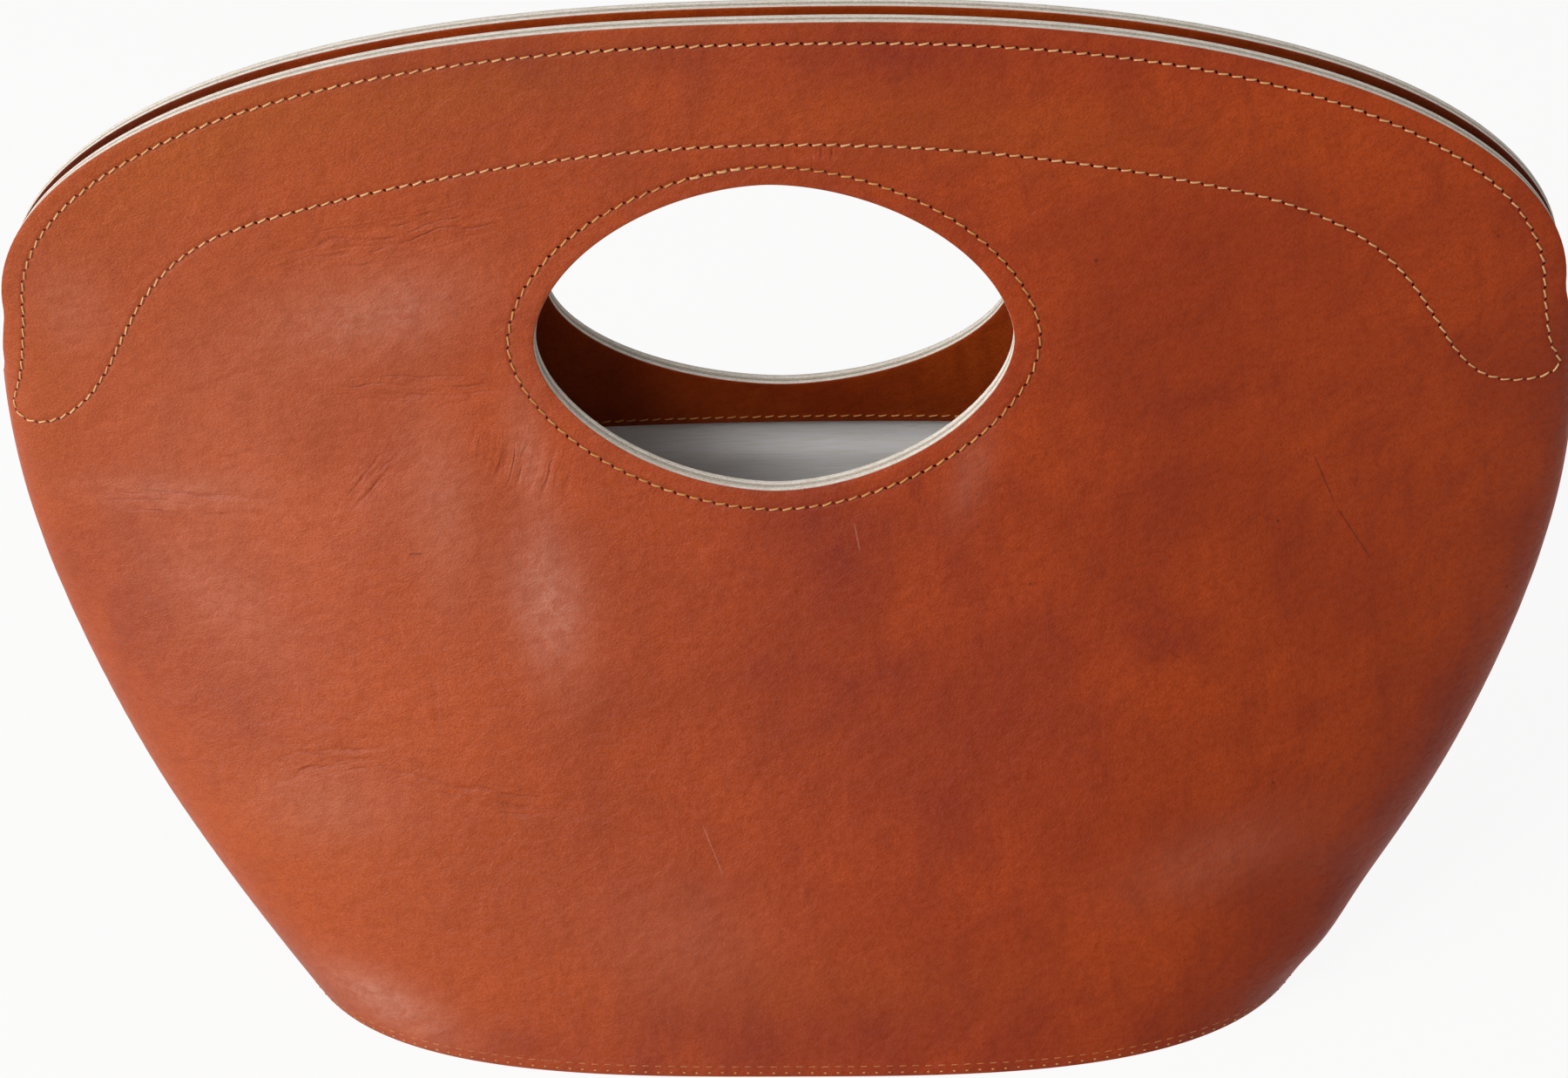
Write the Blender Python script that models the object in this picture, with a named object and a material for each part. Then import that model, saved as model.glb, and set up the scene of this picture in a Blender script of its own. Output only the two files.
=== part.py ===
"""Leather carrying bag with hand holes cut through its two flaps.

Two leather walls meet at the sides and stand on an oval base. Above the sides' notches they part into
a front and a back flap, each with a lens-shaped hand hole, which fold outwards to open the mouth.
Every layer is first laid out flat, as (distance round the wall, depth below its outer face, height),
and is then wrapped round the bag's form. Metres, +Z up, front towards -Y, base centre at the origin.
"""

import math

import bmesh
import bpy
import numpy as np

MM = 0.001

# Overall form of the outer leather
BAG_HEIGHT = 282.5 * MM
BASE_HALF_LENGTH = 150.5 * MM
BASE_HALF_DEPTH = 92.3 * MM
WIDEST_HALF_LENGTH = 215 * MM
WIDEST_HEIGHT = 158 * MM
BASE_SQUARENESS = 3.1
MOUTH_SQUARENESS = 2.0
SIDE_SWEEP = 2.09
FRONT_SWEEP = 1.66
LENS_START = 50 * MM
UNROLL_HEIGHT = 35 * MM

# Flaps and the notches between them
NOTCH_HEIGHT = 181 * MM
NOTCH_RISE = 8 * MM
FLAP_FOOT_HALF_WIDTH = 212.5 * MM
SHOULDER_HEIGHT = 202 * MM
SHOULDER_HALF_WIDTH = 208.5 * MM
ARCH_POWER = 2.4
FLAP_OPENING = 4.6 * MM

# Hand holes
HOLE_HEIGHT = 195.3 * MM
HOLE_HALF_WIDTH = 63.7 * MM
HOLE_RISE = 43.3 * MM
HOLE_DROP = 39.3 * MM
HOLE_ROUNDNESS = 1.8

# Layers, outside to inside
LEATHER = 1.8 * MM
REINFORCEMENT = 0.6 * MM
FACING = 1.8 * MM
LINING = 0.5 * MM
TAPE = 1.0 * MM
GAP = 0.3 * MM
LOOSE_GAP = 0.6 * MM

# Facing, reinforcements and lining
FACING_BELOW_HOLE = 16.6 * MM
RING_WIDTH = 8 * MM
BAND_CLEARANCE = 1.5 * MM
BAND_EDGE_MARGIN = 0.5 * MM
BAND_FALL = 46 * MM
LOBE_INSET = 60 * MM
LOBE_RISE = 0.6 * MM
LINING_OVERLAP = 7.5 * MM
TAPE_HALF_WIDTH = 9 * MM

# Base
BASE_LEATHER = 2.0 * MM
WELT = 2.0 * MM
WELT_TOP = 11 * MM
BOARD = 2.0 * MM
BASE_LINING = 0.8 * MM
LINING_SLOPE_HEIGHT = 14 * MM

# Shares of the half wall at which the upright mesh lines stand: close at the hole, base corner and seam
CORNER_COLUMNS = (0.46, 0.52, 0.57, 0.615, 0.655, 0.695, 0.735, 0.78, 0.83)
SEAM_COLUMNS = (0.885, 0.93, 0.95, 0.967, 0.984, 1)
WALL_COLUMNS = (0, 0.045, 0.09, 0.135, 0.18, 0.225, None, 0.36) + CORNER_COLUMNS + SEAM_COLUMNS
LINING_COLUMNS = (0, 0.09, 0.18, 0.27, 0.36) + CORNER_COLUMNS[::2] + SEAM_COLUMNS
WALL_ROWS = (0, WELT_TOP / NOTCH_HEIGHT, 0.14, 0.23, 0.33, 0.44, 0.57, 0.71, 0.86, 1)
FACING_ROWS = (0, 0.33, 0.67, 1)
FLAP_ROWS = (0, 0.13, 0.34, 0.58, 0.8, 0.925, 0.95, 0.975, 1)
ARCH_STEPS = 22
NOTCH_STEPS = 4
SAMPLES = 160

FOLD_HEIGHT = NOTCH_HEIGHT
FACING_DEPTH = LEATHER + GAP + REINFORCEMENT + GAP
WALL_STACK = FACING_DEPTH + FACING
TOP_HALF_DEPTH = FLAP_OPENING / 2 + WALL_STACK
FACING_FOOT = HOLE_HEIGHT - HOLE_DROP - FACING_BELOW_HOLE
BOARD_HEIGHT = BASE_LEATHER + GAP
BASE_LINING_HEIGHT = BOARD_HEIGHT + BOARD + GAP
LINING_FOOT = BASE_LINING_HEIGHT + BASE_LINING + GAP
WELT_INNER_DEPTH = LEATHER + GAP + WELT + LOOSE_GAP


def clear_scene():
    for obj in list(bpy.data.objects):
        bpy.data.objects.remove(obj, do_unlink=True)


def smooth(share):
    share = np.clip(share, 0.0, 1.0)
    return share * share * (3 - 2 * share)


def half_length(height):
    """Half the bag's length at a height: widest a little below the notches and swept in to the base."""
    share = min(max(height, 0.0), NOTCH_HEIGHT) / WIDEST_HEIGHT
    return BASE_HALF_LENGTH + (WIDEST_HALF_LENGTH - BASE_HALF_LENGTH) * (1 - abs(1 - share) ** SIDE_SWEEP)


def half_depth(height):
    """Half the bag's depth on its centre line, swept inwards from the base to the top edge."""
    share = min(max(height / BAG_HEIGHT, 0.0), 1.0)
    return TOP_HALF_DEPTH + (BASE_HALF_DEPTH - TOP_HALF_DEPTH) * (1 - share) ** FRONT_SWEEP


def run_along(x, y):
    """Distance along a section's points from its first one."""
    return np.concatenate([[0.0], np.cumsum(np.hypot(np.diff(x), np.diff(y)))])


SECTIONS = {}


def section(height):
    """Half of the wall's plan at a height, closed at the side and also laid open, with distances."""
    key = round(height, 7)
    if key in SECTIONS:
        return SECTIONS[key]
    length = half_length(height)
    depth = half_depth(height)
    share = min(max(height / NOTCH_HEIGHT, 0.0), 1.0)
    squareness = BASE_SQUARENESS + (MOUTH_SQUARENESS - BASE_SQUARENESS) * share
    lens = smooth((height - LENS_START) / (NOTCH_HEIGHT - LENS_START))
    along = 1 - (1 - np.linspace(0, 1, SAMPLES)) ** 3
    crown = TOP_HALF_DEPTH + (depth - TOP_HALF_DEPTH) * (1 - along**2)
    rounded = crown * np.sqrt(1 - along ** (2 * length / TOP_HALF_DEPTH))
    oval = depth * (1 - along**squareness) ** (1 / squareness)
    closed_x = length * along
    closed_y = (1 - lens) * oval + lens * rounded
    open_x = np.linspace(0, 1.12 * length, SAMPLES)
    open_y = TOP_HALF_DEPTH + (depth - TOP_HALF_DEPTH) * (1 - (open_x / length) ** 2)
    SECTIONS[key] = (
        (closed_x, closed_y, run_along(closed_x, closed_y)),
        (open_x, open_y, run_along(open_x, open_y)),
    )
    return SECTIONS[key]


def wall_run(height):
    """Distance round the wall from the centre line to the side seam."""
    return float(section(min(height, NOTCH_HEIGHT))[0][2][-1])


def on_wall(run, height):
    """Plan position of the outer face, as (along the bag, out from its middle), for a point of the wall."""
    closed, opened = section(height)
    side = abs(run)
    past_seam = side > closed[2][-1]
    folded = 2 * closed[2][-1] - side if past_seam else side
    x = np.interp(folded, closed[2], closed[0])
    y = np.interp(folded, closed[2], closed[1]) * (-1 if past_seam else 1)
    unrolled = smooth((height - NOTCH_HEIGHT) / UNROLL_HEIGHT)
    x += (np.interp(side, opened[2], opened[0]) - x) * unrolled
    y += (np.interp(side, opened[2], opened[1]) - y) * unrolled
    return np.array([math.copysign(x, run), y])


def wrapped(run, below, height):
    """The same point set in by its depth below the outer face, square to the face but at its own height."""
    step = 0.2 * MM
    tangent = on_wall(run + step, height) - on_wall(run - step, height)
    tangent /= np.hypot(*tangent)
    outward = np.array([-tangent[1], tangent[0]])
    rise = on_wall(run, height + step) - on_wall(run, height - step)
    lean = float(outward @ rise) / (2 * step)
    x, y = on_wall(run, height) - outward * below * math.hypot(1.0, lean)
    return x, y, height


def hole_point(angle, margin=0.0):
    """Point of the hand hole's outline, grown by a margin, in the flat pattern."""
    across, up = math.cos(angle), math.sin(angle)
    reach = (abs(across) ** HOLE_ROUNDNESS + abs(up) ** HOLE_ROUNDNESS) ** (-1 / HOLE_ROUNDNESS)
    half_height = (HOLE_RISE if up > 0 else HOLE_DROP) + margin
    return (HOLE_HALF_WIDTH + margin) * reach * across, HOLE_HEIGHT + half_height * reach * up


def hole_edge_below(run, margin=0.0):
    """Height of the hole's lower edge above a point of the pattern, or the hole's own height beside it."""
    share = min(abs(run) / (HOLE_HALF_WIDTH + margin), 1.0)
    return HOLE_HEIGHT - (HOLE_DROP + margin) * (1 - share**HOLE_ROUNDNESS) ** (1 / HOLE_ROUNDNESS)


def hole_half_width_at(height, margin=0.0):
    share = abs(height - HOLE_HEIGHT) / ((HOLE_RISE if height > HOLE_HEIGHT else HOLE_DROP) + margin)
    return (HOLE_HALF_WIDTH + margin) * (1 - share**HOLE_ROUNDNESS) ** (1 / HOLE_ROUNDNESS)


def hole_angle_at(height, margin=0.0):
    """Angle of the hole's right outline where it crosses a height."""
    half_height = (HOLE_RISE if height > HOLE_HEIGHT else HOLE_DROP) + margin
    across = hole_half_width_at(height, margin) / (HOLE_HALF_WIDTH + margin)
    return math.atan2((height - HOLE_HEIGHT) / half_height, across)


def arch_height(run, inset=0.0):
    """Height of a flap's arched top edge, or of a line set in from it."""
    share = min(abs(run) / (SHOULDER_HALF_WIDTH - inset), 1.0)
    return SHOULDER_HEIGHT + (BAG_HEIGHT - inset - SHOULDER_HEIGHT) * math.sqrt(1 - share**ARCH_POWER)


def band_line(run):
    """Height of the band's lower edge: a shallow arch over the hole that falls to a lobe at each notch."""
    crest = HOLE_HEIGHT + HOLE_RISE + RING_WIDTH + BAND_CLEARANCE
    arch = crest - BAND_FALL * (run / SHOULDER_HALF_WIDTH) ** 2
    lobe = smooth((abs(run) - SHOULDER_HALF_WIDTH + LOBE_INSET) / LOBE_INSET)
    return arch + (FOLD_HEIGHT + LOBE_RISE - arch) * lobe


def flap_outline():
    """Right half of a flap's outline, from the side seam round the notch and up to the centre of the top."""
    foot = FOLD_HEIGHT + GAP / 2
    seam = wall_run(foot) - GAP / 2
    points = []
    for step in range(NOTCH_STEPS + 1):
        turn = math.pi / 2 * step / NOTCH_STEPS
        run = seam - (seam - FLAP_FOOT_HALF_WIDTH) * math.sin(turn)
        points.append((run, foot + NOTCH_RISE * (1 - math.cos(turn))))
    for step in range(ARCH_STEPS // 2 + 1):
        run = SHOULDER_HALF_WIDTH * math.cos(math.pi / 2 * step / (ARCH_STEPS // 2))
        points.append((run, arch_height(run)))
    return points


def mirrored(half):
    """Whole outline, left to right, from its right half that ends on the centre line."""
    return [(-run, height) for run, height in half] + [point for point in reversed(half[:-1])]


def grid_sheet(columns, rows, place):
    """Flat sheet of leather whose mesh lines follow place(column, row) in the pattern."""
    bm = bmesh.new()
    bmesh.ops.create_grid(bm, x_segments=columns, y_segments=rows, size=1.0)
    for vert in bm.verts:
        column = round((vert.co.x + 1) / 2 * columns)
        row = round((vert.co.y + 1) / 2 * rows)
        run, height = place(column, row)
        vert.co = (run, 0.0, height)
    return bm


def thicken(bm, outer_depth, inner_depth):
    """Turn a flat sheet into a layer between two depths, each a number or a function of the height."""
    grown = bmesh.ops.extrude_face_region(bm, geom=list(bm.faces), use_keep_orig=True)
    inner = {item for item in grown["geom"] if isinstance(item, bmesh.types.BMVert)}
    for vert in bm.verts:
        depth = inner_depth if vert in inner else outer_depth
        vert.co.y = depth(vert.co.z) if callable(depth) else depth


def face_outwards(bm):
    """Turn every face outwards; a layer curled round a seam can come out of the recalculation reversed."""
    bmesh.ops.recalc_face_normals(bm, faces=bm.faces)
    if bm.calc_volume(signed=True) < 0:
        bmesh.ops.reverse_faces(bm, faces=bm.faces)


def wrap(bm, side, origin=(0.0, 0.0, 0.0)):
    """Bend a flat layer round the bag, on its front (side -1) or back (side 1)."""
    for vert in bm.verts:
        x, y, z = wrapped(*vert.co)
        vert.co = (x - origin[0], side * y - origin[1], z - origin[2])
    face_outwards(bm)


def add_object(name, bm, material, parent=None):
    """Object of a finished solid, cut to triangles the same way in every layer so that they nest."""
    bmesh.ops.triangulate(bm, faces=bm.faces, quad_method="SHORT_EDGE")
    mesh = bpy.data.meshes.new(name)
    bm.to_mesh(mesh)
    bm.free()
    mesh.shade_smooth()
    mesh.set_sharp_from_angle(angle=math.radians(35))
    mesh.materials.append(material)
    obj = bpy.data.objects.new(name, mesh)
    bpy.context.scene.collection.objects.link(obj)
    obj.parent = parent
    return obj


def make_material(name, colour, roughness):
    """Plain surface with the real one's colour, given in linear red, green and blue."""
    material = bpy.data.materials.new(name)
    material.use_nodes = True
    shader = material.node_tree.nodes["Principled BSDF"]
    shader.inputs["Base Color"].default_value = (*colour, 1.0)
    shader.inputs["Roughness"].default_value = roughness
    shader.inputs["Metallic"].default_value = 0.0
    return material


def tan_leather():
    return make_material("tan_leather", (0.38, 0.085, 0.03), 0.5)


def facing_leather():
    return make_material("facing_leather", (0.17, 0.035, 0.01), 0.45)


def leather_board():
    return make_material("leather_board", (0.42, 0.33, 0.24), 0.85)


def cotton_lining():
    return make_material("cotton_lining", (0.72, 0.66, 0.56), 0.9)


def column_shares(columns, height, margin=0.0):
    """Left-to-right shares of the half wall, with the open place taken by the hole's own width."""
    hole_share = hole_half_width_at(height, margin) / (wall_run(height) - GAP / 2)
    half = sorted(hole_share if share is None else share for share in columns)
    return [-share for share in reversed(half[1:])] + half


def wall_sheet(foot, rows):
    """Sheet from a foot line up to the fold, with the hole's lower half bitten out of its top edge."""
    fold = FOLD_HEIGHT - GAP / 2
    shares = column_shares(WALL_COLUMNS, fold)
    hole_share = hole_half_width_at(fold) / (wall_run(fold) - GAP / 2)

    def place(column, row):
        share = shares[column]
        top = fold
        if abs(share) < hole_share:
            for _ in range(6):
                top = hole_edge_below(share * (wall_run(top) - GAP / 2))
        height = foot + (top - foot) * rows[row]
        return share * (wall_run(height) - GAP / 2), height

    return grid_sheet(len(shares) - 1, len(rows) - 1, place)


def flap_sheet(rows):
    """Sheet above the fold: rows run from the hole's upper edge out to the flap's own outline."""
    outline = mirrored(flap_outline())
    count = len(outline) - 1
    first = hole_angle_at(FOLD_HEIGHT + GAP / 2)

    def place(column, row):
        angle = math.pi - first + (2 * first - math.pi) * column / count
        edge = hole_point(angle)
        outer = outline[column]
        share = rows[row]
        return edge[0] + (outer[0] - edge[0]) * share, edge[1] + (outer[1] - edge[1]) * share

    return grid_sheet(count, len(rows) - 1, place)


def ring_sheet(above):
    """Upper or lower arc of the reinforcing ring round the hole."""
    height = FOLD_HEIGHT + (GAP / 2 if above else -GAP / 2)
    inner = hole_angle_at(height)
    outer = hole_angle_at(height, RING_WIDTH)
    count = 30 if above else 20

    def place(column, row):
        first = outer if row else inner
        last = math.pi - first if above else -math.pi - first
        return hole_point(first + (last - first) * column / count, RING_WIDTH if row else 0.0)

    return grid_sheet(count, 1, place)


def band_sheet():
    """Crescent between a flap's edge stitching and the curved line of stitches above its hole."""
    reach = SHOULDER_HALF_WIDTH - BAND_EDGE_MARGIN
    count = 32

    def place(column, row):
        run = reach * math.sin(math.pi * (column / count - 0.5))
        low = band_line(run)
        high = arch_height(run, BAND_EDGE_MARGIN)
        return run, low + (high - low) * row / 3

    return grid_sheet(count, 3, place)


def lining_depth(height):
    """Depth at which the lining hangs: over the welt, clear of the seam tape, behind the facing."""
    over_welt = WELT_INNER_DEPTH
    over_tape = LEATHER + LOOSE_GAP + TAPE + LOOSE_GAP
    behind_facing = FACING_DEPTH - GAP - LINING
    over_welt_share = 1 - smooth((height - LINING_SLOPE_HEIGHT) / LINING_SLOPE_HEIGHT)
    depth = over_tape + (over_welt - over_tape) * over_welt_share
    tuck = smooth((height - (FACING_FOOT - 2 * LINING_OVERLAP)) / LINING_OVERLAP)
    return depth + (behind_facing - depth) * tuck


def lining_sheet():
    """Half of the lining, from the base lining up to its hem behind the facing."""
    tuck_start = FACING_FOOT - 2 * LINING_OVERLAP
    slope_end = 2 * LINING_SLOPE_HEIGHT
    heights = [LINING_FOOT, WELT_TOP, LINING_SLOPE_HEIGHT, 1.5 * LINING_SLOPE_HEIGHT, slope_end]
    heights += [slope_end + (tuck_start - slope_end) * share for share in (0.25, 0.5, 0.75, 1)]
    heights += [tuck_start + LINING_OVERLAP / 2, tuck_start + LINING_OVERLAP, FACING_FOOT + LINING_OVERLAP]
    shares = column_shares(LINING_COLUMNS, FOLD_HEIGHT)

    def place(column, row):
        height = heights[row]
        return shares[column] * (wall_run(height) - GAP / 2), height

    return grid_sheet(len(shares) - 1, len(heights) - 1, place)


def tape_sheet(side):
    """Strip that covers a side seam from within, from the welt to below the lining's tuck."""
    low = WELT_TOP + GAP
    high = FACING_FOOT - 2 * LINING_OVERLAP
    columns, rows = 6, 8

    def place(column, row):
        height = low + (high - low) * row / rows
        return side * wall_run(height) + TAPE_HALF_WIDTH * (2 * column / columns - 1), height

    return grid_sheet(columns, rows, place)


def base_ring(bm, depth, height):
    """Ring of points that follows the walls at a depth and a height, right round the base."""
    shares = column_shares(WALL_COLUMNS, FOLD_HEIGHT)
    seam = wall_run(height)
    ring = []
    for side in (-1, 1):
        for share in shares[:-1]:
            x, y, z = wrapped(share * seam, depth, height)
            ring.append(bm.verts.new((-side * x, side * y, z)))
    return ring


def base_body(profile, hollow=False):
    """Solid bounded by the rings of a profile of (depth, height): filled at both ends, or a hollow ring."""
    bm = bmesh.new()
    rings = [base_ring(bm, depth, height) for depth, height in profile]
    if hollow:
        rings.append(rings[0])
    for lower, upper in zip(rings, rings[1:]):
        for i in range(len(lower)):
            bm.faces.new((lower[i - 1], lower[i], upper[i], upper[i - 1]))
    if not hollow:
        bm.faces.new(rings[0])
        bm.faces.new(rings[-1])
    face_outwards(bm)
    return bm


def hinge_empty(side, name):
    """Empty on a flap's fold line: it lies on the wall's outermost point there, where the leather bends."""
    empty = bpy.data.objects.new(name, None)
    empty.location = (0.0, side * half_depth(FOLD_HEIGHT), FOLD_HEIGHT)
    empty.empty_display_size = 20 * MM
    bpy.context.scene.collection.objects.link(empty)
    return empty


def add_layer(name, bm, side, depths, material, hinge=None):
    thicken(bm, *depths)
    wrap(bm, side, hinge.location if hinge else (0.0, 0.0, 0.0))
    return add_object(name, bm, material, hinge)


def build_side(word, side, leather, facing, board, lining):
    """Everything on one side of the bag: wall, flap, facing, reinforcements and lining."""
    hinge = hinge_empty(side, word + "_flap_fold")
    outer = (0.0, LEATHER)
    between = (LEATHER + GAP, LEATHER + GAP + REINFORCEMENT)
    inner = (FACING_DEPTH, WALL_STACK)
    add_layer(word + "_panel_lower", wall_sheet(0.0, WALL_ROWS), side, outer, leather)
    add_layer(word + "_panel_flap", flap_sheet(FLAP_ROWS), side, outer, leather, hinge)
    add_layer(word + "_facing_lower", wall_sheet(FACING_FOOT, FACING_ROWS), side, inner, facing)
    add_layer(word + "_facing_flap", flap_sheet(FLAP_ROWS), side, inner, facing, hinge)
    add_layer(word + "_hole_ring_lower", ring_sheet(False), side, between, board)
    add_layer(word + "_hole_ring_upper", ring_sheet(True), side, between, board, hinge)
    add_layer(word + "_flap_band", band_sheet(), side, between, board, hinge)
    lining_layer = (lining_depth, lambda height: lining_depth(height) + LINING)
    add_layer(word + "_lining", lining_sheet(), side, lining_layer, lining)


def build_base(leather, facing, board, lining):
    """Base, the welt that joins it to the walls, the board inside the welt and the lining over the board."""
    edge = LEATHER + GAP
    add_object("base_panel", base_body([(edge, 0.0), (edge, BASE_LEATHER)]), leather)
    foot = BASE_LEATHER + GAP
    welt = [(edge, foot), (edge, WELT_TOP), (edge + WELT, WELT_TOP), (edge + WELT, foot)]
    add_object("base_welt", base_body(welt, hollow=True), facing)
    plate = [(WELT_INNER_DEPTH, BOARD_HEIGHT), (WELT_INNER_DEPTH, BOARD_HEIGHT + BOARD)]
    add_object("base_board", base_body(plate), board)
    cover = [(WELT_INNER_DEPTH, BASE_LINING_HEIGHT), (WELT_INNER_DEPTH, BASE_LINING_HEIGHT + BASE_LINING)]
    add_object("base_lining", base_body(cover), lining)


def build_seam_tapes(leather):
    for word, side in (("left", -1), ("right", 1)):
        depths = (LEATHER + LOOSE_GAP, LEATHER + LOOSE_GAP + TAPE)
        add_layer(word + "_seam_tape", tape_sheet(side), -1, depths, leather)


def main():
    clear_scene()
    leather = tan_leather()
    facing = facing_leather()
    board = leather_board()
    lining = cotton_lining()
    for word, side in (("front", -1), ("back", 1)):
        build_side(word, side, leather, facing, board, lining)
    build_base(leather, facing, board, lining)
    build_seam_tapes(facing)


main()
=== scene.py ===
import math

import bmesh
import bpy
import numpy as np
from mathutils import Matrix, Vector, noise
from mathutils.kdtree import KDTree


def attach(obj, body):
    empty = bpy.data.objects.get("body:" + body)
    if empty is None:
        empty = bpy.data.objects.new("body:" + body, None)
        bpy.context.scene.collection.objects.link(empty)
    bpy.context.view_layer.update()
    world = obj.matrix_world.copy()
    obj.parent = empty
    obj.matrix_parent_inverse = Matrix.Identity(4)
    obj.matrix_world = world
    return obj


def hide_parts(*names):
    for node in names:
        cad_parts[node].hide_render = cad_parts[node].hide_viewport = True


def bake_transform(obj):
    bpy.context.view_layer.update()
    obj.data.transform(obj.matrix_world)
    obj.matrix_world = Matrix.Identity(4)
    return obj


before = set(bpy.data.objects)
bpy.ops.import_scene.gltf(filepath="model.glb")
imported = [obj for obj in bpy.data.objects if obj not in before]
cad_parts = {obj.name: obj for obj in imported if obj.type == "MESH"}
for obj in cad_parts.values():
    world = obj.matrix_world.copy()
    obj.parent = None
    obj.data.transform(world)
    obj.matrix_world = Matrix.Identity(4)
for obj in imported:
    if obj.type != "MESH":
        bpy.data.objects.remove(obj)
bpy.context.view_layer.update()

MM = 0.001

# Form of the outer leather, as in the frame
BAG_HEIGHT = 282.5 * MM
BASE_HALF_LENGTH = 150.5 * MM
BASE_HALF_DEPTH = 92.3 * MM
WIDEST_HALF_LENGTH = 215 * MM
WIDEST_HEIGHT = 158 * MM
BASE_SQUARENESS = 3.1
MOUTH_SQUARENESS = 2.0
SIDE_SWEEP = 2.09
FRONT_SWEEP = 1.66
LENS_START = 50 * MM
UNROLL_HEIGHT = 35 * MM
TOP_HALF_DEPTH = 7.1 * MM
NOTCH_HEIGHT = 181 * MM
NOTCH_RISE = 8 * MM
FLAP_FOOT_HALF_WIDTH = 212.5 * MM
SHOULDER_HEIGHT = 202 * MM
SHOULDER_HALF_WIDTH = 208.5 * MM
ARCH_POWER = 2.4
HOLE_HEIGHT = 195.3 * MM
HOLE_HALF_WIDTH = 63.7 * MM
HOLE_RISE = 43.3 * MM
HOLE_DROP = 39.3 * MM
HOLE_ROUNDNESS = 1.8
RING_WIDTH = 8 * MM
FACING_BELOW_HOLE = 15.8 * MM
FACING_FOOT = HOLE_HEIGHT - HOLE_DROP - FACING_BELOW_HOLE

# Depths of the layers below the outer face: sewn tight, so each fills its share of the frame's stack
WALL_LAYER = (0.0, 2.0 * MM)
MIDDLE_LAYER = (2.08 * MM, 2.92 * MM)
FACING_LAYER = (3.0 * MM, 4.8 * MM)
EDGE_ROUNDING = 0.3 * MM
BAND_MARGIN = 1.5 * MM

# Cotton lining, from the base's cover up to its tuck behind the facing
LINING_THICKNESS = 0.5 * MM
LINING_FOOT = 5.7 * MM
LINING_OVERLAP = 7.5 * MM
LINING_TOP = FACING_FOOT + LINING_OVERLAP
TUCK_FOOT = FACING_FOOT - 2 * LINING_OVERLAP
TUCK_DEPTH = 2.3 * MM
LINING_DEPTH = 4.0 * MM
LINING_OVER_WELT = 0.7 * MM
WELT_SLOPE = 14 * MM
LINING_SLACK = 2.2 * MM
LINING_SIDE_GAP = 0.15 * MM

# Cotton cover on the base board
COVER_HEIGHT = 4.6 * MM
COVER_DEPTH = 4.7 * MM
COVER_THICKNESS = 0.8 * MM
COVER_UNEVENNESS = 0.35 * MM

# Stitch rows in the flat pattern
STITCH_PITCH = 3.62 * MM
# Share of the pitch that the thread spans, and how far its ends are pulled down
STITCH_SHARE = 0.85
STITCH_DROP = 0.55 * MM
# Needle slits: their turn against the row in degrees, and their shift across it in millimetres
NEEDLE_TURN = 62
NEEDLE_SHIFT = 0.1
THREAD = 0.54 * MM
EDGE_ROW_INSET = 5.8 * MM
CURVE_ROW_CREST = 249.5 * MM
CURVE_ROW_FALL = 46 * MM
RING_ROW_SIDE = 6.9 * MM
RING_ROW_MARGIN = 5.0 * MM
# Angle in radians, left of the hole's top
RING_ROW_START = 1.656
LEVEL_ROW_INSET = 2.4 * MM
LEVEL_ROW_HEIGHT = FACING_FOOT + LEVEL_ROW_INSET
BASE_ROW_HEIGHT = 2.7 * MM
BEAD_ROW_HEIGHT = 1.1 * MM

# The curved row's sweep down to each side and its turn up into the edge row, as (run, height) in millimetres
RIGHT_LOBE = (
    (141.6, 226.9), (151.9, 221.3), (160.2, 214.8), (167.8, 206.1), (174.2, 196.3), (179.7, 187.0), (185.0, 180.5),
    (190.8, 176.6), (197.0, 174.9), (203.6, 175.0), (209.2, 176.4), (211.3, 178.3), (209.6, 180.3), (206.4, 184.2),
    (204.7, 192.0),
)
LEFT_LOBE = (
    (147.4, 225.8), (157.0, 219.8), (163.6, 213.8), (170.2, 205.7), (176.2, 196.1), (181.9, 186.3), (188.0, 178.2),
    (195.7, 171.6), (202.4, 168.4), (209.2, 167.9), (213.2, 170.4), (213.0, 173.6), (210.0, 177.6), (206.6, 186.0),
    (204.4, 195.0),
)
# How many of a lobe's points lead down to its foot, and to its turn into the edge row
LOBE_FOOT = 9
LOBE_TURN = 11
# Runs of the curved row between its lobes, in millimetres
CREST_RUNS = range(-134, 131, 6)

# Spacing of the layers' mesh, distance at which points are merged, and steps of the form's table
GRID = 2.6 * MM
WELD = 0.02 * MM
TABLE_STEP = 0.5 * MM
SAMPLES = 240


# Form: the same wrap as the frame's, read from a table for speed

def smooth(share):
    share = np.clip(share, 0.0, 1.0)
    return share * share * (3 - 2 * share)


def half_length(height):
    share = np.clip(height, 0.0, NOTCH_HEIGHT) / WIDEST_HEIGHT
    return BASE_HALF_LENGTH + (WIDEST_HALF_LENGTH - BASE_HALF_LENGTH) * (1 - np.abs(1 - share) ** SIDE_SWEEP)


def half_depth(height):
    share = np.clip(height / BAG_HEIGHT, 0.0, 1.0)
    return TOP_HALF_DEPTH + (BASE_HALF_DEPTH - TOP_HALF_DEPTH) * (1 - share) ** FRONT_SWEEP


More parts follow.
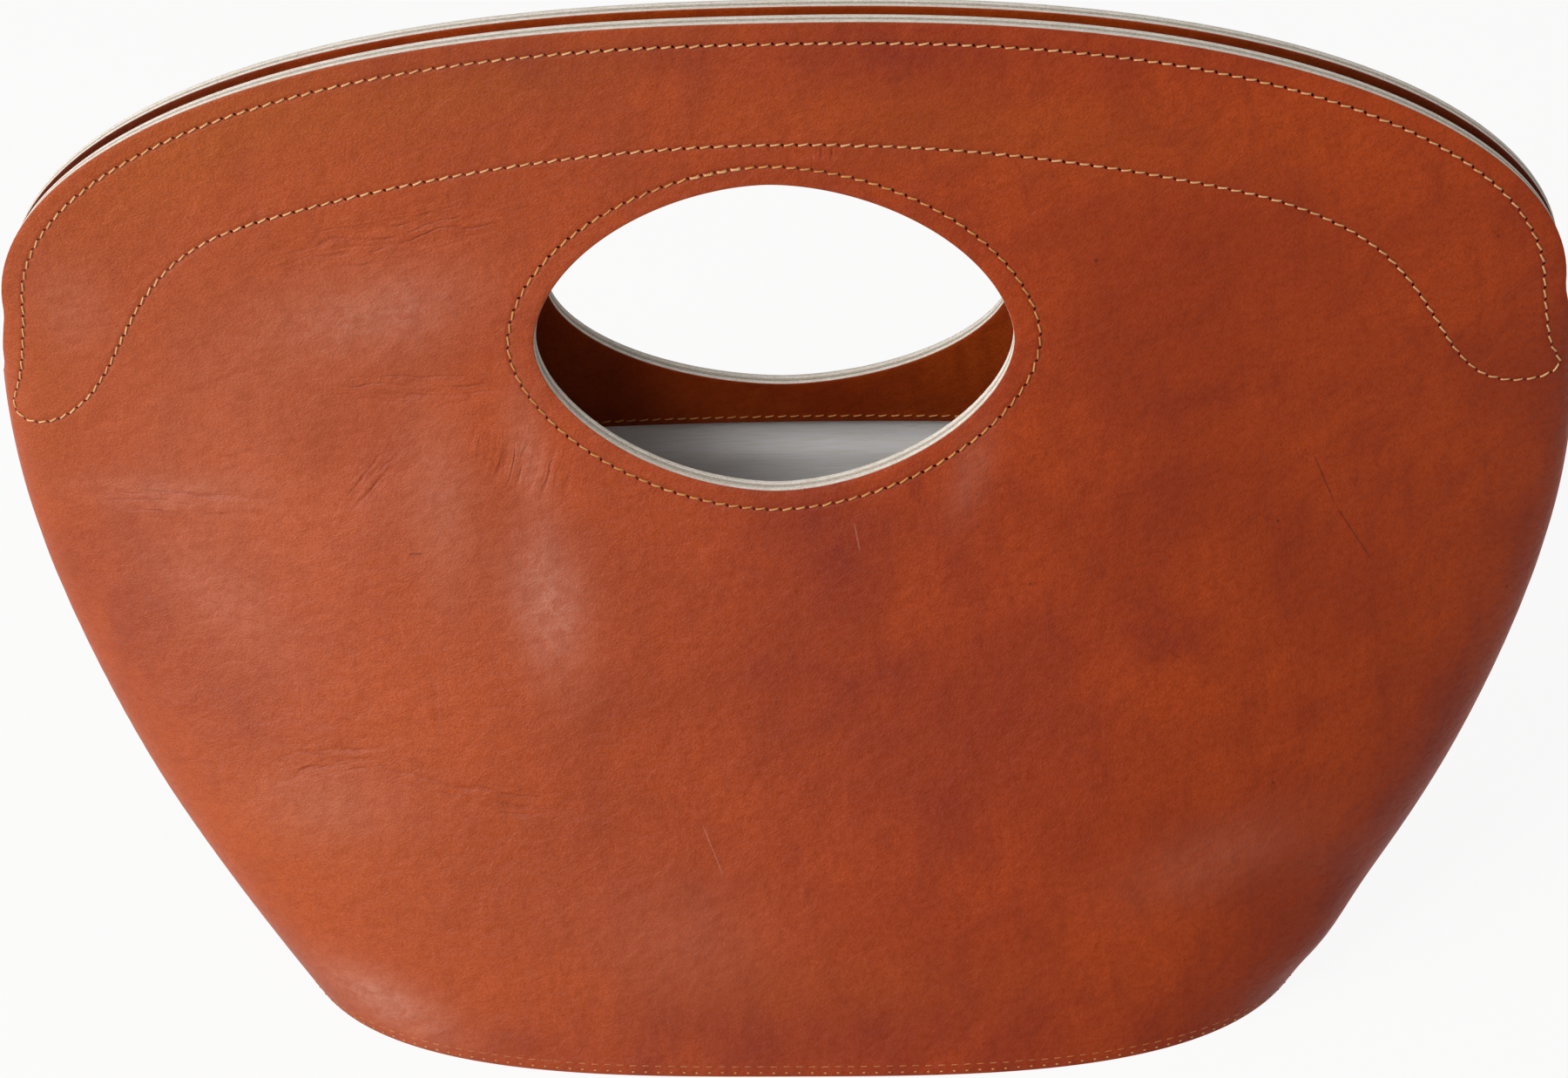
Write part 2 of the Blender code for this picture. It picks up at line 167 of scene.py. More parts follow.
def section_row(height, runs):
    """Plan of the outer face at one height, for distances round the wall that may pass the side seam."""
    length, depth = half_length(height), half_depth(height)
    squareness = BASE_SQUARENESS + (MOUTH_SQUARENESS - BASE_SQUARENESS) * np.clip(height / NOTCH_HEIGHT, 0.0, 1.0)
    lens = smooth((height - LENS_START) / (NOTCH_HEIGHT - LENS_START))
    along = 1 - (1 - np.linspace(0, 1, SAMPLES)) ** 3
    crown = TOP_HALF_DEPTH + (depth - TOP_HALF_DEPTH) * (1 - along**2)
    rounded = crown * np.sqrt(1 - along ** (2 * length / TOP_HALF_DEPTH))
    oval = depth * (1 - along**squareness) ** (1 / squareness)
    x, y = length * along, (1 - lens) * oval + lens * rounded
    run = np.concatenate([[0.0], np.cumsum(np.hypot(np.diff(x), np.diff(y)))])
    seam = run[-1]
    folded = np.where(runs > seam, 2 * seam - runs, runs)
    plan_x = np.interp(folded, run, x)
    plan_y = np.interp(folded, run, y) * np.where(runs > seam, -1, 1)
    open_x = np.linspace(0, 1.2 * length, SAMPLES)
    open_y = TOP_HALF_DEPTH + (depth - TOP_HALF_DEPTH) * (1 - (open_x / length) ** 2)
    open_run = np.concatenate([[0.0], np.cumsum(np.hypot(np.diff(open_x), np.diff(open_y)))])
    unrolled = smooth((height - NOTCH_HEIGHT) / UNROLL_HEIGHT)
    plan_x += (np.interp(runs, open_run, open_x) - plan_x) * unrolled
    plan_y += (np.interp(runs, open_run, open_y) - plan_y) * unrolled
    return plan_x, plan_y, seam


def form_table():
    heights = np.arange(-2, round(BAG_HEIGHT / TABLE_STEP) + 5) * TABLE_STEP
    runs = np.arange(0, round(0.25 / TABLE_STEP)) * TABLE_STEP
    rows = [section_row(max(height, 0.0), runs) for height in heights]
    x, y, seam = (np.array([row[i] for row in rows]) for i in range(3))
    return {"heights": heights, "x": x, "y": y, "seam": seam}


FORM = form_table()


def look_up(table, run, height):
    """Value between the table's four nearest entries."""
    column = np.clip(run / TABLE_STEP, 0, table.shape[1] - 1.001)
    row = np.clip((height - FORM["heights"][0]) / TABLE_STEP, 0, table.shape[0] - 1.001)
    i, j = row.astype(int), column.astype(int)
    v, u = row - i, column - j
    low = table[i, j] * (1 - u) + table[i, j + 1] * u
    high = table[i + 1, j] * (1 - u) + table[i + 1, j + 1] * u
    return low * (1 - v) + high * v


def wall_run(height):
    return np.interp(np.minimum(height, NOTCH_HEIGHT), FORM["heights"], FORM["seam"])


def on_wall(run, height):
    side = np.abs(run)
    x = look_up(FORM["x"], side, height)
    return np.stack([np.where(run < 0, -x, x), look_up(FORM["y"], side, height)], -1)


# Soft swells and dents of the worn leather: (run, height, half width, half height, turn, amount)
FRONT_SWELLS = (
    (-112, 118, 26, 34, 10, 1.2), (-150, 92, 18, 34, 24, -0.8), (-70, 96, 30, 28, 0, 1.3),
    (10, 92, 55, 24, 0, -0.9), (92, 84, 32, 30, -20, 1.2), (140, 118, 20, 36, -16, -0.8),
    (-60, 36, 40, 20, 0, 1.0), (60, 30, 46, 18, 0, -0.8), (148, 38, 20, 11, -10, -2.2), (150, 16, 22, 9, -6, 1.3),
    (-118, 160, 14, 12, 40, -1.2), (-96, 150, 16, 22, 0, 0.8), (-150, 215, 24, 11, 30, 0.6),
    (-137, 240, 5, 14, 3, -0.35), (130, 205, 28, 13, -24, -0.6), (121, 176, 9, 2.2, -16, -0.35),
)
BACK_SWELLS = (
    (-110, 110, 34, 36, -12, 1.2), (20, 84, 50, 28, 6, -1.0), (104, 100, 28, 32, 14, 1.1),
    (-30, 34, 42, 18, 0, 0.9), (-134, 24, 24, 5, 6, -1.0), (-142, 200, 26, 13, 26, -0.6), (126, 214, 26, 13, -26, 0.6),
)


def blots(run, height, marks):
    """Sum of soft oval marks over points of the pattern."""
    total = np.zeros(np.broadcast(run, height).shape)
    for x, z, wide, tall, turn, amount in marks:
        c, s = math.cos(math.radians(turn)), math.sin(math.radians(turn))
        u, v = run / MM - x, height / MM - z
        total += amount * np.exp(-(((u * c + v * s) / wide) ** 2) - ((v * c - u * s) / tall) ** 2)
    return total


def give(run, height, side):
    """How far the leather stands proud of the plain form: nothing at the seams and at the base."""
    swell = blots(run, height, FRONT_SWELLS if side < 0 else BACK_SWELLS) * MM
    return swell * smooth(height / (12 * MM)) * smooth((wall_run(height) - np.abs(run)) / (26 * MM))


def wrapped(run, below, height, side):
    """Points of a layer on the front (side -1) or back (side 1), at their depth below the outer face."""
    run, below, height = (np.asarray(value, float) for value in (run, below, height))
    tangent = on_wall(run + TABLE_STEP, height) - on_wall(run - TABLE_STEP, height)
    tangent /= np.linalg.norm(tangent, axis=-1, keepdims=True)
    outward = np.stack([-tangent[..., 1], tangent[..., 0]], -1)
    rise = on_wall(run, height + TABLE_STEP) - on_wall(run, height - TABLE_STEP)
    lean = (outward * rise).sum(-1) / (2 * TABLE_STEP)
    inset = (below - give(run, height, side)) * np.hypot(1.0, lean)
    plan = on_wall(run, height) - outward * inset[..., None]
    return np.stack([plan[..., 0], side * plan[..., 1], height], -1)


# Outlines and sewn rows in the flat pattern

def hole_point(angle, side_margin=0.0, margin=0.0):
    across, up = math.cos(angle), math.sin(angle)
    reach = (abs(across) ** HOLE_ROUNDNESS + abs(up) ** HOLE_ROUNDNESS) ** (-1 / HOLE_ROUNDNESS)
    half_height = (HOLE_RISE if up > 0 else HOLE_DROP) + margin
    return (HOLE_HALF_WIDTH + side_margin) * reach * across, HOLE_HEIGHT + half_height * reach * up


def hole_edge_below(run):
    share = min(abs(run) / HOLE_HALF_WIDTH, 1.0)
    return HOLE_HEIGHT - HOLE_DROP * (1 - share**HOLE_ROUNDNESS) ** (1 / HOLE_ROUNDNESS)


def hole_half_width_at(height):
    share = abs(height - HOLE_HEIGHT) / (HOLE_RISE if height > HOLE_HEIGHT else HOLE_DROP)
    return HOLE_HALF_WIDTH * (1 - share**HOLE_ROUNDNESS) ** (1 / HOLE_ROUNDNESS)


HOLE_AT_NOTCH = hole_half_width_at(NOTCH_HEIGHT)
SEAM_AT_NOTCH = float(wall_run(NOTCH_HEIGHT))


def arch_height(run, inset=0.0):
    share = min(abs(run) / (SHOULDER_HALF_WIDTH - inset), 1.0)
    return SHOULDER_HEIGHT + (BAG_HEIGHT - inset - SHOULDER_HEIGHT) * math.sqrt(1 - share**ARCH_POWER)


def arch_points(inset, count):
    """Right half of the arched top edge, or of a line inside it, from the shoulder to the centre."""
    reach = SHOULDER_HALF_WIDTH - inset
    runs = [reach * math.cos(math.pi / 2 * step / count) for step in range(count + 1)]
    return [(run, arch_height(run, inset)) for run in runs]


def flap_outline():
    """Right half of a flap's outline, from the side seam round the notch and up to the top's centre."""
    notch = []
    for step in range(13):
        turn = math.pi / 2 * step / 12
        run = SEAM_AT_NOTCH - (SEAM_AT_NOTCH - FLAP_FOOT_HALF_WIDTH) * math.sin(turn)
        notch.append((run, NOTCH_HEIGHT + NOTCH_RISE * (1 - math.cos(turn))))
    return notch + arch_points(0.0, 120)


def evenly(points, step, closed=False):
    """Points at an even distance along a line, with a whole number of steps."""
    line = np.array(list(points) + [points[0]] if closed else points, float)
    along = np.concatenate([[0.0], np.cumsum(np.linalg.norm(np.diff(line, axis=0), axis=1))])
    count = max(1, round(along[-1] / step))
    places = np.linspace(0, along[-1], count + 1)
    return np.stack([np.interp(places, along, line[:, 0]), np.interp(places, along, line[:, 1])], -1)


def mirrored(half):
    """Whole line from its right half, which ends on the centre line."""
    return [tuple(point) for point in half] + [(-point[0], point[1]) for point in reversed(half[:-1])]


def eased(loop, reach):
    """The same loop with its corners eased, each point moved to the mean of its neighbours."""
    weights = np.hanning(2 * reach + 3)[1:-1]
    weights /= weights.sum()
    shifts = range(-reach, reach + 1)
    return sum(np.roll(loop, shift, axis=0) * weight for shift, weight in zip(shifts, weights))


def edge_row():
    """Row along the flap's top edge, from shoulder to shoulder."""
    return mirrored(arch_points(EDGE_ROW_INSET, 90))


def crest():
    """Middle of the curved row, between its lobes."""
    return [(run * MM, CURVE_ROW_CREST - CURVE_ROW_FALL * (run * MM / SHOULDER_HALF_WIDTH) ** 2) for run in CREST_RUNS]


def band_loop(side):
    """Edge row and curved row, sewn in one go round the band. It starts at the right turn and runs up and left."""
    right = [(run * MM, height * MM) for run, height in RIGHT_LOBE]
    left = [(-run * MM, height * MM) for run, height in LEFT_LOBE]
    loop = right[LOBE_TURN:] + edge_row() + left[::-1] + crest() + right[:LOBE_TURN]
    loop = eased(evenly(loop, 1.0 * MM, closed=True)[:-1], 5)
    return [(-side * run, height) for run, height in loop]


def ring_loop(side):
    """Row round the hand hole, which starts and ends with a few doubled stitches left of its top."""
    angles = [2 * math.pi * step / 400 + RING_ROW_START for step in range(400)]
    loop = [hole_point(angle, RING_ROW_SIDE, RING_ROW_MARGIN) for angle in angles]
    return [(-side * run, height) for run, height in loop]


def level_row(height, end_gap):
    """Needle holes of a row that runs level from seam to seam."""
    reach = float(wall_run(height)) - end_gap
    return evenly([(-reach, height), (reach, height)], STITCH_PITCH)


# Sheets: flat grids laid out in the pattern, then given thickness

def grid_sheet(bm, columns, rows, place):
    """Adds a grid whose mesh lines follow place(column, row) in the pattern."""
    made = bmesh.ops.create_grid(bm, x_segments=columns, y_segments=rows, size=1.0)
    for vert in made["verts"]:
        run, height = place(round((vert.co.x + 1) / 2 * columns), round((vert.co.y + 1) / 2 * rows))
        vert.co = (run, 0.0, height)


def wall_sheet(foot):
    """Whole wall from a foot line to the arched top, with the hand hole in it: one grid up to the notches and hole,
    and one that runs round the hole above them."""
    bm = bmesh.new()
    beside = round((SEAM_AT_NOTCH - HOLE_AT_NOTCH) / GRID)
    under = round(2 * HOLE_AT_NOTCH / GRID)
    outer = [HOLE_AT_NOTCH + (SEAM_AT_NOTCH - HOLE_AT_NOTCH) * step / beside for step in range(beside + 1)]
    inner = [HOLE_AT_NOTCH * (2 * step / under - 1) for step in range(1, under)]
    shares = np.array([-run for run in reversed(outer)] + inner + outer) / SEAM_AT_NOTCH
    hole_share = HOLE_AT_NOTCH / SEAM_AT_NOTCH
    rows = round((NOTCH_HEIGHT - foot) / GRID)

    def place_below(column, row):
        share = shares[column]
        top = NOTCH_HEIGHT
        if abs(share) < hole_share - 1e-9:
            for _ in range(8):
                top = hole_edge_below(share * float(wall_run(top)))
        height = foot + (top - foot) * row / rows
        return share * float(wall_run(height)), height

    whole = mirrored(evenly(flap_outline(), GRID))
    first = math.atan2((NOTCH_HEIGHT - HOLE_HEIGHT) / HOLE_DROP, HOLE_AT_NOTCH / HOLE_HALF_WIDTH)
    angles = np.linspace(first, math.pi - first, len(whole))

    def place_above(column, row):
        edge, outline = hole_point(angles[column]), whole[column]
        share = row / beside
        return edge[0] + (outline[0] - edge[0]) * share, edge[1] + (outline[1] - edge[1]) * share

    grid_sheet(bm, len(shares) - 1, rows, place_below)
    grid_sheet(bm, len(whole) - 1, beside, place_above)
    bmesh.ops.remove_doubles(bm, verts=bm.verts, dist=WELD)
    return bm


def ring_sheet():
    """Annulus of the reinforcement round the hole."""
    bm = bmesh.new()
    columns, rows = 220, 3

    def place(column, row):
        return hole_point(2 * math.pi * column / columns, RING_WIDTH * row / rows, RING_WIDTH * row / rows)

    grid_sheet(bm, columns, rows, place)
    bmesh.ops.remove_doubles(bm, verts=bm.verts, dist=WELD)
    return bm


def band_sheet(side):
    """Crescent of the reinforcement, flush with the top edge and just wider than the curved row."""
    bm = bmesh.new()
    columns, rows = 260, 16
    left = [(-run * MM, height * MM) for run, height in LEFT_LOBE[:LOBE_FOOT]]
    right = [(run * MM, height * MM) for run, height in RIGHT_LOBE[:LOBE_FOOT]]
    lower = np.array(left[::-1] + crest() + right)
    if side > 0:
        lower = lower[::-1] * (-1, 1)

    def place(column, row):
        run = SHOULDER_HALF_WIDTH * math.sin(math.pi * (column / columns - 0.5))
        low = float(np.interp(run, lower[:, 0], lower[:, 1])) - BAND_MARGIN
        return run, low + (arch_height(run) - low) * row / rows

    grid_sheet(bm, columns, rows, place)
    return bm


def thicken(bm, layer, rounding):
    """Closes a flat sheet into a layer with rounded cut edges, its depth along Y until it is wrapped."""
    outer, inner = layer
    grown = bmesh.ops.extrude_face_region(bm, geom=list(bm.faces), use_keep_orig=True)
    lifted = {item for item in grown["geom"] if isinstance(item, bmesh.types.BMVert)}
    for vert in bm.verts:
        vert.co.y = inner if vert in lifted else outer
    bmesh.ops.recalc_face_normals(bm, faces=bm.faces)
    if rounding:
        rims = []
        for edge in bm.edges:
            if len(edge.link_faces) == 2 and abs(edge.verts[0].co.y - edge.verts[1].co.y) < 1e-7:
                first, second = edge.link_faces
                if abs(first.normal.dot(second.normal)) < 0.5:
                    rims.append(edge)
        bmesh.ops.bevel(
            bm, geom=rims, offset=rounding, segments=2, profile=0.5, affect="EDGES", material=-1, clamp_overlap=True
        )


def finish_mesh(name, bm, materials, sharp=70):
    """Makes the object, shaded smooth but for edges sharper than the given angle in degrees."""
    mesh = bpy.data.meshes.new(name)
    bm.to_mesh(mesh)
    bm.free()
    mesh.shade_smooth()
    mesh.set_sharp_from_angle(angle=math.radians(sharp))
    for material in materials:
        mesh.materials.append(material)
    obj = bpy.data.objects.new(name, mesh)
    bpy.context.scene.collection.objects.link(obj)
    return obj


def coordinates(mesh):
    flat = np.empty(len(mesh.vertices) * 3, np.float32)
    mesh.vertices.foreach_get("co", flat)
    return flat.reshape(-1, 3).astype(float)


def wrap_mesh(mesh, flat, below, side):
    """Stores the flat pattern in millimetres and moves each point to its place round the bag."""
    add_attribute(mesh, "pattern", flat[:, [0, 2, 1]] / MM)
    placed = wrapped(flat[:, 0], below, flat[:, 2], side)
    mesh.vertices.foreach_set("co", placed.astype(np.float32).ravel())
    mesh.update()


def face_outward(bm):
    if bm.calc_volume(signed=True) < 0:
        bmesh.ops.reverse_faces(bm, faces=bm.faces)


def add_attribute(mesh, name, values):
    attribute = mesh.attributes.new(name, "FLOAT_VECTOR", "POINT")
    attribute.data.foreach_set("vector", np.asarray(values, np.float32).ravel())


def row_coordinates(points, loop):
    """For each point: signed distance from a sewn loop in millimetres, and its place along it in stitches."""
    path = evenly(loop, 0.5 * MM, closed=True)
    length = np.linalg.norm(np.diff(path, axis=0), axis=1).sum()
    step = length / (len(path) - 1)
    tree = KDTree(len(path) - 1)
    for i, (run, height) in enumerate(path[:-1]):
        tree.insert((run, height, 0.0), i)
    tree.balance()
    near = np.array([tree.find((run, height, 0.0))[1] for run, height in points])
    tangent = np.roll(path[:-1], -1, axis=0) - np.roll(path[:-1], 1, axis=0)
    tangent /= np.linalg.norm(tangent, axis=1, keepdims=True)
    offset, ahead = points - path[near], tangent[near]
    along = near * step + (offset * ahead).sum(1)
    across = offset[:, 0] * ahead[:, 1] - offset[:, 1] * ahead[:, 0]
    far = np.linalg.norm(offset, axis=1)
    across = np.where(far > 3 * MM, np.sign(across) * far, across)
    pitch = length / round(length / STITCH_PITCH)
    return np.stack([across / MM, along / pitch, 0 * along], -1)


# Marks of use and of the hide painted on the wall, among them painted shade and painted sheen: (run, height, half
# width, half height, turn, amount)
# Stains, and painted shade: the broad blots along the top and the base and those at the far left and right, where the
# wall turns away from the light
FRONT_STAINS_AND_SHADE = (
    (10, 133, 15, 24, 0, 0.55), (16, 106, 28, 5, -3, 0.6), (84, 114, 32, 8, 0, 0.5), (105, 112, 8, 9, 0, 0.5),
    (66, 90, 22, 30, 0, 0.4), (101, 136, 8, 22, -6, 0.45), (35, 79, 13, 26, 14, 0.35), (116, 177, 22, 3, 6, 0.55),
    (157, 90, 22, 3.5, 14, 0.5), (167, 139, 18, 2.5, 2, 0.35), (165, 163, 7, 12, -20, 0.4), (150, 136, 26, 22, 0, 0.2),
    (-150, 92, 26, 14, 34, 0.35), (-112, 163, 17, 15, 0, 0.35), (-136, 241, 4, 14, 4, 0.3), (60, 16, 60, 10, 0, 0.35),
    (-60, 200, 22, 10, 10, 0.25), (-118, 118, 30, 12, 8, 0.25), (96, 250, 26, 9, -8, 0.2), (46, 140, 8, 14, 0, 0.25),
    (166, 243, 5, 4, 0, 0.5), (173, 174, 10, 6, 0, 0.3), (176, 224, 12, 16, 10, 0.2), (10, 274, 120, 9, 0, 0.8),
    (10, 4, 150, 15, 0, 0.85), (15, 98, 62, 46, 0, 0.35), (118, 222, 40, 26, -20, 0.25), (40, 40, 60, 20, 0, 0.2),
    (-185, 112, 26, 36, -14, 0.6), (14, 142, 44, 14, 0, 0.45), (200, 210, 12, 30, 6, 0.35),
    (182, 66, 13, 46, -22, 0.9), (156, 20, 20, 16, -20, 0.5), (96, 170, 16, 26, 10, 0.3), (-48, 40, 10, 40, 14, 0.25),
)
# Polished patches: they lower the roughness, and the leather's colour is lightened over them as a painted sheen
FRONT_POLISH_AND_SHEEN = (
    (-64, 126, 10, 19, 8, 0.8), (-119, 12, 20, 8, -12, 0.9), (-160, 120, 22, 12, -34, 0.25), (-92, 152, 9, 26, 0, 0.4),
    (-190, 205, 11, 15, 0, 0.25), (52, 160, 5, 13, -18, 0.35), (-172, 150, 26, 5, 4, 0.35), (-30, 36, 26, 16, 0, 0.2),
    (120, 52, 26, 10, 12, 0.25), (-100, 206, 22, 9, 16, 0.3), (-130, 66, 26, 10, 10, 0.25),
    (-150, 160, 40, 50, -10, 0.2), (-67, 166, 5, 15, 8, 0.5), (-110, 205, 30, 14, 12, 0.3),
)
BACK_STAINS = (
    (-60, 120, 24, 12, 10, 0.5), (40, 90, 30, 20, -10, 0.4), (120, 150, 20, 6, 4, 0.4), (-130, 80, 22, 14, -20, 0.4),
    (0, 40, 60, 10, 0, 0.3), (90, 200, 20, 12, 0, 0.25), (-140, 190, 16, 10, 20, 0.3), (150, 100, 12, 18, 0, 0.35),
)
AMBER = (
    (-148, 252, 44, 12, 32, 0.7), (-70, 268, 60, 8, 12, 0.6), (-202, 178, 10, 26, 0, 0.4), (60, 252, 70, 12, -6, 0.4),
    (-150, 60, 30, 20, 0, 0.25), (20, 22, 60, 10, 0, 0.3),
)
# Polished patches of the back, also lightened in colour as a painted sheen
BACK_POLISH_AND_SHEEN = (
    (80, 120, 30, 34, -8, 0.2), (-110, 30, 40, 14, 8, 0.25), (150, 200, 24, 22, 0, 0.15),
    (-120, 150, 26, 30, 0, 0.12),
)

# Zones of fine creases: (run, height, half width, half height, direction of the creases, amount)
FRONT_CREASES = (
    (-99, 226, 32, 7, 13, 1.0), (-100, 184, 30, 4.5, 1, 0.8), (-111, 158, 9, 4, 46, 1.1), (-166, 148, 26, 5, 2, 1.0),
    (-130, 79, 22, 6, 17, 0.9), (-80, 73, 34, 5, -7, 0.9), (-150, 126, 16, 10, -28, 0.5), (62, 258, 50, 9, -4, 0.35),
    (101, 136, 9, 22, 0, 0.5), (-20, 254, 30, 8, 2, 0.3), (14, 247, 1.6, 8, 88, 0.9), (120, 176, 8, 3, -18, 0.9),
    (-176, 205, 9, 5, 20, 0.4), (-68, 164, 8, 16, 72, 0.9),
)
BACK_CREASES = (
    (100, 224, 30, 7, -12, 0.9), (-96, 180, 28, 5, 4, 0.8), (-150, 146, 24, 5, -3, 0.9), (70, 80, 30, 6, 8, 0.8),
    (130, 120, 14, 9, 30, 0.5),
)


def paint_marks(mesh, flat, side):
    """Stains with painted shade, polish with painted sheen, and amber, and the creases' own coordinates, as attributes
    for the leather's shader.
    """
    run, height = flat[:, 0], flat[:, 2]
    stain_and_shade_blots, polish_and_painted_sheen, creases = (
        (FRONT_STAINS_AND_SHADE, FRONT_POLISH_AND_SHEEN, FRONT_CREASES) if side < 0 else (BACK_STAINS, BACK_POLISH_AND_SHEEN, BACK_CREASES)
    )
    stain_and_shade = np.clip(blots(run, height, stain_and_shade_blots), 0, 1.2)
    gloss = np.clip(blots(run, height, polish_and_painted_sheen), 0, 1.2)
    amber = np.clip(blots(run * -side, height, AMBER), 0, 1.2)
    add_attribute(mesh, "marks", np.stack([stain_and_shade, gloss, amber], -1))
    amounts = np.stack([blots(run, height, (zone,)) for zone in creases])
    strongest = amounts.argmax(0)
    turns = np.radians([zone[4] for zone in creases])[strongest]
    u = (run * np.cos(turns) + height * np.sin(turns)) / MM
    v = (height * np.cos(turns) - run * np.sin(turns)) / MM
    add_attribute(mesh, "creases", np.stack([u, v + 40 * strongest, amounts.max(0)], -1))


def leather_layer(name, sheet, side, layer, materials, rows=(), grain_inside=False, rounding=EDGE_ROUNDING,
                  marked=False):
    """Layer with its first material on the grain face, its second on the cut edges and its third on the back.
    The sewn rows and marks are stored as attributes before the layer is bent round the bag."""
    thicken(sheet, layer, rounding)
    for face in sheet.faces:
        away = face.normal.y if grain_inside else -face.normal.y
        face.material_index = 0 if away > 0.8 else 2 if away < -0.8 else 1
    obj = finish_mesh(name, sheet, materials)
    mesh = obj.data
    flat = coordinates(mesh)
    for row, loop in rows:
        add_attribute(mesh, row, row_coordinates(flat[:, [0, 2]], loop))
    if marked:
        paint_marks(mesh, flat, side)
    wrap_mesh(mesh, flat, flat[:, 1], side)
    bm = bmesh.new()
    bm.from_mesh(mesh)
    face_outward(bm)
    bm.to_mesh(mesh)
    bm.free()
    return obj


# Lining: cotton hung slack between the facing and the base

def lining_depth(run, height, side):
    """Depth of the lining: over the welt, clear of the seam tapes and tucked up behind the facing."""
    over_welt = 1 - smooth((height - WELT_SLOPE) / WELT_SLOPE)
    tuck = smooth((height - TUCK_FOOT) / LINING_OVERLAP)
    depth = LINING_DEPTH + LINING_OVER_WELT * over_welt
    depth = depth + (TUCK_DEPTH - depth) * tuck
    loose = smooth(height / (40 * MM)) * (1 - smooth((height - TUCK_FOOT + 22 * MM) / (26 * MM)))
    waves = []
    for x, z in zip(run, height):
        broad = noise.noise(Vector((x * 22 + 7 * side, z * 9, 3.0)))
        fine = noise.noise(Vector((x * 55, z * 20, side)))
        waves.append(0.5 + 0.5 * broad + 0.25 * fine)
    return depth + LINING_SLACK * loose * np.array(waves)


def lining_piece(name, side, material):
    """Lining of one side, with its flat size and area."""
    bm = bmesh.new()
    columns, rows = 150, 50
    tall = LINING_TOP - LINING_FOOT

    def place(column, row):
        height = LINING_FOOT + tall * row / rows
        return (2 * column / columns - 1) * (float(wall_run(height)) - LINING_SIDE_GAP), height

    grid_sheet(bm, columns, rows, place)
    thicken(bm, (0.0, LINING_THICKNESS), 0)
    obj = finish_mesh(name, bm, [material])
    flat = coordinates(obj.data)
    wrap_mesh(obj.data, flat, lining_depth(flat[:, 0], flat[:, 2], side) + flat[:, 1], side)
    area = float(np.mean(2 * wall_run(np.linspace(LINING_FOOT, LINING_TOP, 200))) * tall)
    return obj, (2 * float(wall_run(WIDEST_HEIGHT)), tall), area


def cover_piece(material):
    """Cotton laid over the base board, with a soft unevenness, and its flat size and area."""
    bm = bmesh.new()
    columns, rows = 160, 24
    seam = float(wall_run(COVER_HEIGHT))
    runs = np.linspace(-seam, seam, columns // 2, endpoint=False)
    low, inset = np.full_like(runs, COVER_HEIGHT), np.full_like(runs, COVER_DEPTH)
    outline = np.concatenate([wrapped(side * -runs, inset, low, side) for side in (-1, 1)])
    made = bmesh.ops.create_grid(bm, x_segments=columns, y_segments=rows, size=1.0)
    for vert in made["verts"]:
        column, row = round((vert.co.x + 1) / 2 * columns), round((vert.co.y + 1) / 2 * rows)
        x, y, _ = outline[column % columns] * row / rows
        rise = COVER_UNEVENNESS * noise.noise(Vector((x * 30, y * 30, 1.0))) * (1 - (row / rows) ** 4)
        vert.co = (x, y, COVER_HEIGHT + rise)
    bmesh.ops.remove_doubles(bm, verts=bm.verts, dist=WELD)
    area = sum(face.calc_area() for face in bm.faces)
    grown = bmesh.ops.extrude_face_region(bm, geom=list(bm.faces), use_keep_orig=True)
    for item in grown["geom"]:
        if isinstance(item, bmesh.types.BMVert):
            item.co.z += COVER_THICKNESS
    bmesh.ops.recalc_face_normals(bm, faces=bm.faces)
    obj = finish_mesh("base_cover", bm, [material])
    add_attribute(obj.data, "pattern", coordinates(obj.data) / MM)
    size = np.ptp(outline, axis=0)
    return obj, (float(size[0]), float(size[1])), area


# Stitches

def stitch_template():
    """One thread from hole to hole along X, from 0 to 1, as a closed round bar with blunt ends."""
    bm = bmesh.new()
    sides, rings = 6, 9
    bmesh.ops.create_grid(bm, x_segments=rings, y_segments=sides, size=1.0)
    for vert in bm.verts:
        along = (vert.co.x + 1) / 2
        turn = math.pi * (vert.co.y + 1)
        girth = 0.5 * math.sqrt(max(0.0, 1 - (2 * along - 1) ** 8))
        vert.co = (along, girth * math.cos(turn), girth * math.sin(turn))
    bmesh.ops.remove_doubles(bm, verts=bm.verts, dist=1e-4)
    bmesh.ops.recalc_face_normals(bm, faces=bm.faces)
    face_outward(bm)
    mesh = bpy.data.meshes.new("stitch_template")
    bm.to_mesh(mesh)
    bm.free()
    return mesh


STITCH = stitch_template()


